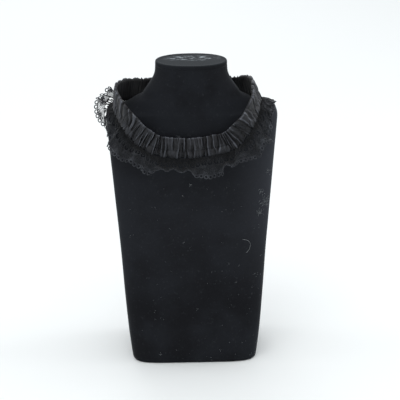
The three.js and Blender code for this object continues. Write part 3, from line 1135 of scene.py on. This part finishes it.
@dataclass
class ChokerLoop:
    """The line of the band's lower edge, with the directions that the cloth takes from it."""

    form: BustForm
    columns: int = 1920
    front_drop: float = 41.0
    seam: np.ndarray = field(init=False)
    tangent: np.ndarray = field(init=False)
    outward: np.ndarray = field(init=False)
    lean: np.ndarray = field(init=False)
    length: float = field(init=False)
    along: np.ndarray = field(init=False)

    def __post_init__(self) -> None:
        """Spaces the columns evenly along the closed curve through the stations."""
        stations = np.array(BAND_STATIONS)
        rows = np.column_stack(
            [
                stations[:, 0] * self.form.shoulder_width / 2,
                stations[:, 1] * self.form.shoulder_depth / 2,
                self.form.shoulder_height - stations[:, 2] * self.front_drop,
            ]
        )
        fine = np.linspace(0, len(rows), 6001)
        line = self.through(rows, fine)
        along = np.concatenate([[0], np.cumsum(np.linalg.norm(np.diff(line, axis=0), axis=1))])
        self.length = float(along[-1])
        self.along = np.arange(self.columns) / self.columns * self.length
        place = np.interp(self.along, along, fine)
        self.seam = self.through(rows, place)
        self.tangent = unit(change_round(self.seam))
        east, north, _ = self.tangent.T
        self.outward = unit(np.column_stack([north, -east, np.zeros(self.columns)]))
        row = np.floor(place).astype(int) % len(rows)
        share = smoothstep(place - np.floor(place))
        lean = stations[:, 3]
        self.lean = lean[row] * (1 - share) + lean[(row + 1) % len(rows)] * share

    @staticmethod
    def through(rows: np.ndarray, place: np.ndarray) -> np.ndarray:
        """Closed smooth curve through rows of points, read at places counted in rows."""
        count = len(rows)
        row = np.floor(place).astype(int)
        share = (place - row)[:, None]
        before, here, after, beyond = (rows[(row + step) % count] for step in (-1, 0, 1, 2))
        return 0.5 * (
            2 * here
            + (after - before) * share
            + (2 * before - 5 * here + 4 * after - beyond) * share**2
            + (3 * here - before - 3 * after + beyond) * share**3
        )

    def slope(self, degrees: np.ndarray) -> np.ndarray:
        """Direction down and outwards at an angle from plumb, square to the seam."""
        angle = np.radians(degrees)[:, None]
        down = self.outward * np.sin(angle) - np.array([0.0, 0.0, 1.0]) * np.cos(angle)
        return unit(down - self.tangent * (down * self.tangent).sum(1, keepdims=True))


# The band


@dataclass
class Gathers:
    """The slits between gathers round a loop, each with its own place, depth, length, lean and steep side."""

    length: float
    pitch: float
    seed: int
    slit_width: float = 0.5
    crest_width: float = 1.3
    gentle: float = 0.42
    lean: float = 1.5
    # Place and width of the raised edge beside each slit, which the band also paints as a highlight
    edge_place: float = 1.25
    edge_width: float = 0.55
    gap_shares: tuple[float, float] = (0.35, 1.6)
    depths: tuple[float, float] = (0.45, 1.0)
    fades: tuple[float, float] = (0.12, 0.7)
    starts: tuple[float, float] = (-0.7, 0.25)
    ends: tuple[float, float] = (0.75, 1.7)

    def relief(self, along: np.ndarray, share: np.ndarray) -> tuple[np.ndarray, np.ndarray, np.ndarray]:
        """Shape of the gathered cloth.

        Args:
            along: columns by rows of places round the loop, in millimetres, already slanted.
            share: each row's share of the height from the upper edge.

        Returns:
            Columns by rows, each from 0 to 1: the puffs' height, the slits' depth and the crisp edges, which
                the band also uses for its painted shade and highlight.
        """
        rng = np.random.default_rng(self.seed)
        count = round(self.length / self.pitch)
        gaps = rng.uniform(*self.gap_shares, count)
        places = np.cumsum(gaps) / gaps.sum() * self.length
        slit = np.zeros(along.shape)
        edge = np.zeros(along.shape)
        nearest = np.full(along.shape, 9.0)
        for place in places:
            depth = rng.uniform(*self.depths)
            upper_fade, lower_fade = rng.uniform(*self.fades, 2)
            start = rng.uniform(*self.starts)
            end = rng.uniform(*self.ends)
            lean, bow, ripple = rng.normal(0.0, 1.0, 3) * [self.lean, self.lean * 0.45, self.lean * 0.12]
            line = place + lean * (share - 0.5) + bow * np.sin(np.pi * share) + ripple * np.sin(9 * share)
            off = (along - line + self.length / 2) % self.length - self.length / 2
            steep = 1.0 if rng.random() < 0.5 else -1.0
            away = np.abs(off) * np.where(off * steep > 0, 1.0, self.gentle)
            shown = smoothstep((share - start) / upper_fade) * smoothstep((end - share) / lower_fade)
            width = self.slit_width * (0.55 + 0.45 * shown)
            slit = np.maximum(slit, depth * shown * np.exp(-((away / width) ** 1.5)))
            beside = (off * steep - self.edge_place) / self.edge_width
            edge = np.maximum(edge, depth * shown * np.exp(-(beside**2)))
            nearest = np.minimum(nearest, away + (1 - shown) * 2.5)
        return 1 - np.exp(-((nearest / self.crest_width) ** 1.4)), slit, edge * (1 - slit)


@dataclass
class RuchedBand:
    """The gathered casing round the elastic, its stitching and its loose threads."""

    form: BustForm
    loop: ChokerLoop
    height: float = 19.0
    thickness: float = 3.2
    gather_pitch: float = 4.3
    gather_depth: float = 1.1
    crease_pitch: float = 2.4
    crease_depth: float = 0.36
    crease_slits: tuple[float, ...] = (0.28, 0.8, 0.8, 1.9)  # width, crest's width, gentle side and lean
    hang: tuple[float, float] = (0.35, 0.05)  # how far gathers turn towards plumb, on the -X and the +X side
    upper_notch: float = 1.5
    lower_notch: float = 1.7
    back_sag: float = 2.5  # how much lower the tufts of the lower edge hang behind the neck
    stitch_line: float = 0.67
    stitch_pitch: float = 3.0
    outer_rows: int = 38
    inner_rows: int = 8
    seed: int = 11
    finish: TaffetaFinish = TaffetaFinish()
    thread: ThreadFinish = ThreadFinish("black_polyester_thread", "#121315", "#1d1e21", 0.6)
    loose_thread: ThreadFinish = ThreadFinish("frayed_grey_thread", "#3a3c40", "#56595e")
    middle: np.ndarray = field(init=False)

    def __post_init__(self) -> None:
        """Lays the band's middle surface round the bust, from its upper edge to its lower edge."""
        shares = np.linspace(1, 0, 9)
        down = self.loop.slope(self.loop.lean)
        surface = self.loop.seam[:, None] - down[:, None] * (shares * self.height)[None, :, None]
        gap = self.form.rest_gap + self.thickness / 2
        surface = self.form.cleared(surface, gap, 24)
        spread = 2.6 / (self.loop.length / self.loop.columns)
        surface = round_blur(surface, spread)
        self.middle = self.form.cleared(surface, gap, 24)

    def at(self, share: np.ndarray) -> np.ndarray:
        """Points of the middle surface at shares of the height from the upper edge."""
        rows = self.middle.shape[1] - 1
        place = np.clip(share, 0, 1) * rows
        row = np.minimum(place.astype(int), rows - 1)
        part = (place - row)[None, :, None]
        return self.middle[:, row] * (1 - part) + self.middle[:, row + 1] * part

    def down(self) -> np.ndarray:
        """Direction from the upper edge to the lower one at each column."""
        return unit(self.middle[:, -1] - self.middle[:, 0])

    def outward(self) -> np.ndarray:
        """Direction square to the band, outwards, at each column."""
        centre = self.middle[:, self.middle.shape[1] // 2]
        return unit(round_blur(np.cross(self.down(), change_round(centre)), 8.0))

    def relief(self, share: np.ndarray) -> tuple[np.ndarray, np.ndarray]:
        """Height of the gathers and of the finer creases over the band's outer face, with their painted shade
        and highlight.

        Args:
            share: each row's share of the height from the upper edge.

        Returns:
            Columns by rows of the cloth's height in millimetres, and of its painted shade and highlight.
        """
        stray = self.loop.tangent[:, 2] / np.minimum(self.down()[:, 2], -0.4)
        hang = np.where(self.loop.seam[:, 0] < 0, *self.hang)
        stray = round_blur(np.clip(stray, -1.3, 1.3) * hang, 12.0) * self.height
        wander = 0.9 * closed_noise(self.seed + 2, self.loop.columns, 8, 40)
        jog = 0.7 * closed_noise(self.seed + 3, self.loop.columns, 30, 60)
        along = self.loop.along[:, None] - stray[:, None] * (share - 0.35) + wander[:, None] * (share - 0.5)
        along = along + jog[:, None] * smoothstep((share - self.stitch_line) / 0.05)
        gathers = Gathers(self.loop.length, self.gather_pitch, self.seed)
        creases = Gathers(self.loop.length, self.crease_pitch, self.seed + 1, *self.crease_slits)
        puff, slit, edge = gathers.relief(along, share)
        fine_puff, fine_slit, fine_edge = creases.relief(along, share)
        height = (puff - 0.6 - 0.8 * slit) * self.gather_depth
        height = height + (fine_puff - 0.6 - fine_slit) * self.crease_depth
        height += 0.35 * edge + 0.12 * fine_edge
        # Painted shade: dark in the slits and creases, and darker where the puffs sink
        shade = (1 - slit) * (1 - 0.5 * fine_slit) * (0.62 + 0.38 * puff)
        # Painted highlight along the upper edge
        rolled = np.exp(-((share / 0.035) ** 2)) * (0.35 + 0.65 * puff)
        # Painted highlight on the raised edge beside each slit and crease
        return height, shade + 0.75 * edge + 0.3 * fine_edge + 0.6 * rolled

    def casing(self) -> bpy.types.Object:
        """The gathered cloth: a closed tube round the elastic."""
        columns = self.loop.columns
        outer = np.linspace(0, 1, self.outer_rows)
        inner = np.linspace(0.985, 0.015, self.inner_rows)
        profile = np.array(BAND_PROFILE)
        proud = monotone(profile[:, 0], profile[:, 1], outer)
        height, shade = self.relief(outer)
        groove = np.exp(-(((outer - self.stitch_line) / 0.024) ** 2))
        sewn = 0.15 + 0.35 * smoothstep(closed_noise(self.seed + 6, columns, 6, 30) + 0.4)
        swell = 0.35 * closed_noise(self.seed + 7, columns, 12, 50)
        lift = height - sewn[:, None] * groove + swell[:, None]
        way = self.outward()[:, None]
        down = self.down()[:, None]
        points = self.at(outer) + way * (proud * self.thickness / 2 + lift)[..., None]
        upper = height[:, :1] * np.exp(-((outer / 0.09) ** 2)) * self.upper_notch
        lower = height[:, -1:] * np.exp(-(((1 - outer) / 0.12) ** 2)) * self.lower_notch
        points = points + down * (lower - upper)[..., None]
        lining = self.at(inner) - way * (0.9 * self.thickness / 2)
        lining = lining + way * (0.12 * self.relief(inner)[0])[..., None]
        # The lining gets an even painted shade, darker than the plain cloth
        shade = np.concatenate([shade, np.full((columns, self.inner_rows), 0.35)], 1)
        points = np.concatenate([points, lining], 1)
        behind = smoothstep((self.loop.seam[:, 1] / self.form.shoulder_depth + 0.1) / 0.3)
        sag = np.outer(behind, smoothstep((np.concatenate([outer, inner]) - 0.55) / 0.45)) * self.back_sag
        points = self.form.cleared(points + down * sag[..., None], self.form.rest_gap * 0.8, 12)
        faces = grid_faces(columns, points.shape[1], tube=True)
        across = np.concatenate([outer, 1 + (1 - inner)]) * self.height / METRE
        flat_at = np.stack(np.broadcast_arrays((self.loop.along * 1.5 / METRE)[:, None], across[None, :]), -1)
        piece = make_object(
            "taffeta_band", Surface(points.reshape(-1, 3), [faces], shade), self.finish.material(),
            flat_at.reshape(-1, 2),
        )
        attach(piece, "root")
        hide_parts("ruched_band")
        return piece

    def stitching(self) -> bpy.types.Object:
        """The machine stitches that hold the elastic, where they aren't sunk in the gathers."""
        count = round(self.loop.length / self.stitch_pitch)
        step = self.loop.columns / count
        starts = (np.arange(count) * step).astype(int)
        starts = starts[closed_noise(self.seed + 6, self.loop.columns, 6, 30)[starts] > 0.1]
        reach = max(2, int(step * 0.62))
        picks = (starts[:, None] + np.linspace(0, reach, 3).astype(int)[None, :]) % self.loop.columns
        line = np.array([self.stitch_line])
        relief = self.relief(line)[0][:, 0] - 0.4
        profile = np.array(BAND_PROFILE)
        proud = monotone(profile[:, 0], profile[:, 1], line)[0] * self.thickness / 2
        way = self.outward()
        points = self.at(line)[:, 0] + way * (proud + round_blur(relief, 5.0) + 0.1)[:, None]
        piece = make_object(
            "band_stitches", strands(points[picks], way[picks], Thread.STITCH), self.thread.material()
        )
        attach(piece, "root")
        return piece

    def loose_ends(self) -> bpy.types.Object:
        """Frayed thread ends that stand up over the upper edge at the front."""
        rng = np.random.default_rng(self.seed + 20)
        front = self.loop.columns * 0.47
        picks = (front + rng.normal(0, 9, 6)).astype(int)
        steps = np.linspace(0, 1, 9)
        paths = []
        for pick in picks:
            reach, curl, lean = rng.uniform(2.0, 4.2), rng.uniform(0.6, 2.6), rng.normal(0, 1.0)
            across = self.loop.tangent[pick] * (np.sin(steps * curl * 2) * 1.1 + lean * steps)[:, None]
            rise = -self.down()[pick] * (np.sin(steps * curl) * reach)[:, None]
            out = self.outward()[pick] * (self.thickness * 0.35 + 0.8 * steps)[:, None]
            paths.append(self.middle[pick, 0] + across + rise + out)
        paths = np.stack(paths)
        normals = np.broadcast_to(np.array([0.0, -1.0, 0.0]), paths.shape)
        ends = strands(paths, normals, Thread.LOOSE_END)
        piece = make_object("loose_threads", ends, self.loose_thread.material())
        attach(piece, "root")
        return piece

    def build(self) -> list[bpy.types.Object]:
        """Builds the band's pieces."""
        return [self.casing(), self.stitching(), self.loose_ends()]


# The lace


def leaf_reach(swing: np.ndarray, half: float) -> np.ndarray:
    """How far a leaf of a half width reaches aside, at an angle round its outline from its stem."""
    return half * np.sin(swing) * (1 - 0.35 * np.cos(swing))


@dataclass
class LacePattern:
    """The lace as it lies flat: net with open shells, corded flowers and leaves, and a scalloped cord."""

    length: float
    repeats: int = 30
    shells: int = 3
    mesh_pitch: float = 1.4
    net_top: float = 0.4
    net_bottom: float = 21.6
    scallop: float = 0.5
    picot_pitch: float = 4.8
    picot_radius: float = 1.8
    loop_points: int = 18

    @property
    def repeat(self) -> float:
        """Length of one repeat."""
        return self.length / self.repeats

    def open_shells(self) -> np.ndarray:
        """Shell-shaped openings of one repeat, in a row under the seam.

        Returns:
            Rows of start x, start y, angle in degrees, length and half width.
        """
        step = self.repeat / self.shells
        return np.array([((turn + 0.5) * step, 4.8, 90, 7.6, step * 0.42) for turn in range(self.shells)])

    def petals(self) -> np.ndarray:
        """Filled leaves and petals of one repeat: a leaf in each shell, a flower and its sprigs.

        Returns:
            Rows of start x, start y, angle in degrees, length and half width.
        """
        step = self.repeat / self.shells
        rows = [((turn + 0.5) * step, 5.0, 90, 4.8, 0.9) for turn in range(self.shells)]
        rows += [(0.27 * self.repeat, 15.8, 90 + 72 * turn, 4.4, 1.35) for turn in range(5)]
        rows += [(0.72 * self.repeat, y, angle, reach, 1.1) for y, angle, reach in
                 ((18.6, 25, 4.2), (18.6, 155, 4.2), (13.4, -25, 4.0), (13.4, 205, 4.0), (16.0, 90, 4.4))]
        return np.array(rows)

    def repeated(self, shapes: np.ndarray) -> np.ndarray:
        """Shapes of one repeat, set out along the whole lace."""
        shift = np.arange(self.repeats)[:, None, None, None] * np.array([self.repeat, 0.0])
        return (shapes[None] + shift).reshape(-1, *shapes.shape[1:])

    def outlines(self, rows: np.ndarray, first: float) -> np.ndarray:
        """Closed outlines of petals, leaves or shells.

        Args:
            rows: start x, start y, angle, length and half width of each.
            first: share of the length at which an outline starts, past its stem.

        Returns:
            Outlines by points by 2, for every repeat.
        """
        angle = np.linspace(0, 2 * np.pi, self.loop_points, endpoint=False)
        loops = []
        for x, y, turn, reach, half in rows:
            heading = math.radians(turn)
            along = reach * (first + (1 - first) * (1 - np.cos(angle)) / 2)
            across = leaf_reach(angle, half)
            loops.append(
                np.column_stack(
                    [
                        x + along * math.cos(heading) - across * math.sin(heading),
                        y + along * math.sin(heading) + across * math.cos(heading),
                    ]
                )
            )
        return self.repeated(np.stack(loops))

    def filling(self, pitch: float) -> np.ndarray:
        """Close rows of thread across every petal and leaf.

        Args:
            pitch: distance from one row to the next.

        Returns:
            Threads by 2 ends by 2, for every repeat.
        """
        threads = []
        for x, y, turn, reach, half in self.petals():
            heading = math.radians(turn)
            ahead = np.array([math.cos(heading), math.sin(heading)])
            beside = np.array([-ahead[1], ahead[0]])
            for along in np.arange(0.22 * reach, 0.96 * reach, pitch):
                swing = np.arccos(np.clip(1 - 2 * along / reach, -1, 1))
                across = leaf_reach(swing, half)
                middle = np.array([x, y]) + ahead * along
                threads.append([middle - beside * across, middle + beside * across])
        return self.repeated(np.array(threads))

    def rings(self, centres: np.ndarray, radius: float, points: int) -> np.ndarray:
        """Round outlines about centres."""
        angle = np.linspace(0, 2 * np.pi, points, endpoint=False)
        circle = radius * np.column_stack([np.cos(angle), np.sin(angle)])
        return centres[:, None] + circle[None]

    def flower_centres(self) -> np.ndarray:
        """Middles of the flowers and sprigs of every repeat."""
        one = np.array([(0.27 * self.repeat, 15.8), (0.72 * self.repeat, 18.6), (0.72 * self.repeat, 13.4)])
        return self.repeated(one[:, None])[:, 0]

    def hem_at(self, x: np.ndarray) -> np.ndarray:
        """Depth of the scalloped cord along the hem."""
        return self.net_bottom + self.scallop * np.cos(2 * np.pi * x / self.repeat)

    def net(self) -> np.ndarray:
        """Threads of the hexagonal net, left out inside the open shells.

        Returns:
            Threads by 2 ends by 2.
        """
        across = round(self.length / self.mesh_pitch)
        pitch = self.length / across
        side = pitch / math.sqrt(3)
        rows = int((self.net_bottom - self.net_top) / (1.5 * side)) + 1
        column, row = np.meshgrid(np.arange(across), np.arange(rows), indexing="ij")
        x, y = pitch * (column + 0.5 * (row % 2)), self.net_top + 1.5 * side * row
        low = np.stack([x, y], -1).reshape(-1, 2)
        high = low + [0, side]
        threads = np.concatenate(
            [np.stack([low, high], 1), np.stack([high, high + [pitch / 2, side / 2]], 1),
             np.stack([high, high + [-pitch / 2, side / 2]], 1)]
        )
        middle = threads.mean(1)
        keep = threads[:, :, 1].max(1) < self.hem_at(middle[:, 0]) + 0.2
        local = middle.copy()
        local[:, 0] %= self.repeat
        for x, y, _, reach, half in self.open_shells():
            along = (local[:, 1] - y) / reach
            swing = np.arccos(np.clip(1 - 2 * along, -1, 1))
            across_shell = leaf_reach(swing, half)
            keep &= ~((along > 0) & (along < 1) & (np.abs(local[:, 0] - x) < across_shell))
        return threads[keep]


@dataclass
class LaceRuffle:
    """The lace trim, gathered into the band's lower edge and thrown into folds."""

    form: BustForm
    loop: ChokerLoop
    band: RuchedBand
    width: float = 26.5
    thickness: float = 1.0
    seam_gap: float = 0.4
    pucker_depth: float = 0.6
    pucker_pitch: float = 5.6
    wave_depth: float = 1.5
    wave_span: float = 13.0
    ripple_depth: float = 0.5
    fullness: float = 1.7
    rows: int = 24
    open_share: float = 0.42
    # Painted shade: darkest at the seam under the band, fading out over the shade reach, and darker behind a
    # turned-up hem
    seam_shade: float = 0.15
    shade_reach: float = 22.0
    tuck_shade: float = 0.65
    finish: ThreadFinish = ThreadFinish("black_cotton_lace_thread", "#202226", "#33363a")
    cord_finish: ThreadFinish = ThreadFinish("black_gimp_cord", "#222429", "#3a3d42", 0.7)
    least_fullness: float = 0.15
    grid: np.ndarray = field(init=False)
    normals: np.ndarray = field(init=False)
    gathered: np.ndarray = field(init=False)
    tuck: np.ndarray = field(init=False)

    def __post_init__(self) -> None:
        """Lays the lace's middle surface from the seam to the hem, fullest where the hem swings widest."""
        columns = self.loop.columns
        along = np.arange(columns) / columns
        fall, kick, sway = self.folds(along)
        # Where the hem turns up, which gets painted shade behind it
        self.tuck = smoothstep((kick - 65) / 45)
        sweep = np.radians(sway)[:, None]
        shares = np.linspace(0, 1, self.rows)
        edge = self.band.middle[:, -1]
        start = edge + unit(edge - self.band.middle[:, 0]) * (self.seam_gap + self.thickness / 2)
        points = [start]
        for before, after in zip(shares[:-1], shares[1:]):
            reached = (before + after) / 2
            way = self.loop.slope(fall + (kick - fall) * reached) * np.cos(sweep)
            way = way + self.loop.tangent * np.sin(sweep)
            points.append(points[-1] + way * (after - before) * self.width)
        grid = np.stack(points, 1)
        clear = self.form.rest_gap + self.thickness / 2
        grid[:, 1:] = self.form.cleared(grid[:, 1:], clear + self.pucker_depth / 2, 24)
        normals = self.square_to(grid)
        pitch = round(self.loop.length / self.pucker_pitch)
        pucker = np.sin(along * pitch * 2 * np.pi + 0.8 * closed_noise(31, columns, 3, 12))
        wave = np.sin(along * round(self.loop.length / self.wave_span) * 2 * np.pi)
        rise = self.pucker_depth * np.outer(pucker, np.sin(np.pi * np.minimum(1, shares * 2)))
        rise += self.wave_depth * np.outer(wave, shares)
        rise += self.ripple_depth * np.outer(closed_noise(32, columns, 40, 80), shares)
        grid = grid + normals * rise[..., None]
        grid[:, 1:] = self.form.cleared(grid[:, 1:], clear, 12)
        self.grid = grid
        self.normals = self.square_to(grid)
        hem = grid[:, round(0.8 * self.rows)]
        steps = np.linalg.norm(np.roll(hem, -1, 0) - hem, axis=1)
        steps = round_blur(steps, 14.0) + self.least_fullness * steps.mean()
        self.gathered = np.concatenate([[0], np.cumsum(steps)]) / steps.sum()

    def folds(self, along: np.ndarray) -> tuple[np.ndarray, np.ndarray, np.ndarray]:
        """Angles of the folds, eased between one row of the table and the next.

        Args:
            along: shares of the loop.

        Returns:
            Degrees from plumb at the seam, at the hem, and of the sweep along the band.
        """
        table = np.array(LACE_FOLDS, float)
        places = np.append(table[:, 0], 1.0)
        row = np.clip(np.searchsorted(places, along, side="right") - 1, 0, len(table) - 1)
        share = smoothstep((along - places[row]) / (places[row + 1] - places[row]))
        after = (row + 1) % len(table)
        fall, kick, sway = (table[row, k] * (1 - share) + table[after, k] * share for k in (1, 2, 3))
        return fall, kick, sway

    @staticmethod
    def square_to(grid: np.ndarray) -> np.ndarray:
        """Unit vectors square to a closed grid, outwards."""
        return unit(np.cross(np.gradient(grid, axis=1), change_round(grid)))

    def column_at(self, flat: np.ndarray, length: float) -> np.ndarray:
        """Where points of the flat lace lie round the ruffle, counted in columns."""
        return np.interp(flat[..., 0] / length % 1.0, self.gathered, np.arange(self.loop.columns + 1))

    def placed(self, flat: np.ndarray, length: float, lift: float = 0.0) -> tuple[np.ndarray, np.ndarray]:
        """Takes points of the flat lace to the ruffle.

        Args:
            flat: points along the lace and down its width, in millimetres.
            length: the lace's flat length.
            lift: distance out from the middle surface.

        Returns:
            The points and the outward directions there.
        """
        columns, rows = self.grid.shape[:2]
        place = self.column_at(flat, length)
        depth = np.clip(flat[..., 1] / self.width, 0, 1) * (rows - 1)
        column = np.floor(place).astype(int)
        row = np.minimum(depth.astype(int), rows - 2)
        part, down = (place - column)[..., None], (depth - row)[..., None]
        column %= columns
        after = (column + 1) % columns
        result = []
        for values in (self.grid, self.normals):
            high = values[column, row] * (1 - part) + values[after, row] * part
            low = values[column, row + 1] * (1 - part) + values[after, row + 1] * part
            result.append(high * (1 - down) + low * down)
        points, normals = result
        normals = unit(normals)
        return points + normals * lift, normals

    def threads(self, flat: np.ndarray, length: float, thread: Thread) -> Surface:
        """Threads of the flat lace, laid on the ruffle, with painted shade under the band and behind a
        turned-up hem.

        Args:
            flat: threads by points by 2, along the lace and down its width.
            length: the lace's flat length.
            thread: the threads' kind.

        Returns:
            The threads' surface.
        """
        surface = strands(*self.placed(flat, length, thread.value.lift), thread)
        depth = flat[..., 1]
        # Painted shade under the band and behind a turned-up hem
        shade = self.seam_shade + (1 - self.seam_shade) * smoothstep(depth / self.shade_reach)
        column = self.column_at(flat, length).astype(int) % self.loop.columns
        tucked = self.tuck[column] * smoothstep(depth / 4) * smoothstep((18 - depth) / 5)
        surface.shade = np.repeat((shade * (1 - self.tuck_shade * tucked)).ravel(), thread.value.sides)
        return surface

    def picots(self, pattern: LacePattern, length: float) -> Surface:
        """Ring picots that touch along the hem, each kept round however the hem is stretched.

        Args:
            pattern: the lace as it lies flat.
            length: the lace's flat length.

        Returns:
            The rings' surface.
        """
        x = np.arange(4096) / 4096 * length
        depth = pattern.hem_at(x) + pattern.picot_radius + 0.1
        line, normals = self.placed(np.column_stack([x, depth]), length)
        along = np.cumsum(np.linalg.norm(np.roll(line, -1, 0) - line, axis=1))
        count = round(along[-1] / pattern.picot_pitch)
        pick = np.searchsorted(along, np.arange(count) / count * along[-1])
        ahead = unit(np.roll(line, -6, 0) - np.roll(line, 6, 0))[pick]
        beside = unit(np.cross(normals[pick], ahead))
        angle = np.linspace(0, 2 * np.pi, 14, endpoint=False)[None, :, None]
        rings = line[pick][:, None] + pattern.picot_radius * (
            ahead[:, None] * np.cos(angle) + beside[:, None] * np.sin(angle)
        )
        rings = self.form.cleared(rings, self.form.rest_gap + 0.3, 6)
        facing = np.broadcast_to(normals[pick][:, None], rings.shape)
        return strands(rings, facing, Thread.PICOT)

    def piece(self, name: str, surface: Surface, finish: ThreadFinish) -> bpy.types.Object:
        """Makes one piece of the lace."""
        piece = make_object(name, surface, finish.material())
        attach(piece, "root")
        return piece

    def build(self) -> list[bpy.types.Object]:
        length = self.loop.length * self.fullness
        pattern = LacePattern(length)
        net = self.piece("lace_net", self.threads(pattern.net(), length, Thread.NET), self.finish)
        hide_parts("lace_ruffle")
        shells = self.threads(pattern.outlines(pattern.open_shells(), 0.0), length, Thread.SHELL_CORD)
        leaves = self.threads(pattern.outlines(pattern.petals(), 0.15), length, Thread.LEAF_CORD)
        centres = self.threads(pattern.rings(pattern.flower_centres(), 0.55, 8), length, Thread.FLOWER_CENTRE)
        x = np.arange(1440) / 1440 * length
        hem = np.column_stack([x, pattern.hem_at(x)])[None]
        heading = np.column_stack([x, np.full(len(x), 0.7)])[None]
        cords = self.threads(hem, length, Thread.HEM_CORD)
        cords = cords.joined(self.threads(heading, length, Thread.HEADING))
        corded = shells.joined(leaves).joined(centres).joined(cords)
        motifs = self.piece("lace_motifs", corded, self.cord_finish)
        filling = self.threads(pattern.filling(0.62), length, Thread.LEAF_FILLING)
        leaf_work = self.piece("lace_leaf_work", filling, self.finish)
        picots = self.piece("lace_picots", self.picots(pattern, length), self.cord_finish)
        return [net, motifs, leaf_work, picots]


# Studio


@dataclass
class Studio:
    """Pale floor, soft light and the camera at the photograph's angle."""

    azimuth: float = -1.3
    elevation: float = 20.0
    distance: float = 1200.0
    lens: float = 105.8
    target: tuple[float, float, float] = (7.6, 0.0, 163.1)
    roll: float = 0.48
    floor_half: float = 9.0
    world_strength: float = 0.88
    finish: FloorFinish = FloorFinish()

    def floor(self) -> bpy.types.Object:
        """Broad level floor just under the resting face."""
        half = self.floor_half * METRE
        corners = np.array([(-half, -half, 0), (half, -half, 0), (half, half, 0), (-half, half, 0)], float)
        floor = make_object("floor", Surface(corners, [np.array([[0, 1, 2, 3]])]), self.finish.material())
        return floor

    def camera(self) -> bpy.types.Object:
        """The camera, turned and rolled as the photograph's was."""
        turn, rise, roll = (math.radians(angle) for angle in (self.azimuth, self.elevation, self.roll))
        back = Vector((math.sin(turn) * math.cos(rise), -math.cos(turn) * math.cos(rise), math.sin(rise)))
        right = (-back).cross(Vector((0, 0, 1))).normalized()
        up = right.cross(-back)
        right, up = (
            right * math.cos(roll) - up * math.sin(roll),
            up * math.cos(roll) + right * math.sin(roll),
        )
        data = bpy.data.cameras.new("camera")
        data.lens = self.lens
        data.sensor_width = 36.0
        data.clip_start = 0.05
        camera = bpy.data.objects.new("camera", data)
        place = Vector(self.target) / METRE + back * (self.distance / METRE)
        turned = Matrix((right, up, back)).transposed().to_4x4()
        camera.matrix_world = Matrix.Translation(place) @ turned
        bpy.context.scene.collection.objects.link(camera)
        bpy.context.scene.camera = camera
        return camera

    def light(self, name: str, place: tuple[float, float, float], size: float, power: float) -> None:
        """Square soft box that faces the choker."""
        data = bpy.data.lights.new(name, "AREA")
        data.size = size
        data.energy = power
        lamp = bpy.data.objects.new(name, data)
        lamp.location = place
        lamp.rotation_euler = (Vector((0, 0, 0.2)) - Vector(place)).to_track_quat("-Z", "Y").to_euler()
        bpy.context.scene.collection.objects.link(lamp)

    def build(self) -> None:
        """Sets up the floor, the lights, the sky and the camera."""
        self.floor()
        self.camera()
        for soft_box in SOFT_BOXES:
            self.light(*soft_box)
        world = bpy.data.worlds.new("studio_white")
        world.use_nodes = True
        background = world.node_tree.nodes["Background"]
        background.inputs["Color"].default_value = linear("#fbfdff")
        background.inputs["Strength"].default_value = self.world_strength
        bpy.context.scene.world = world
        bpy.context.scene.view_settings.view_transform = "Standard"


def main() -> None:
    """Builds the studio, the bust and the choker."""
    logging.basicConfig(level=logging.INFO, format="%(name)s: %(message)s")
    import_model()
    Studio().build()
    form = BustForm()
    loop = ChokerLoop(form)
    band = RuchedBand(form, loop)
    for assembly in (DisplayBust(form), band, LaceRuffle(form, loop, band)):
        for piece in assembly.build():
            LOG.info("%s: %d faces", piece.name, len(piece.data.polygons))


if __name__ == "__main__":
    main()
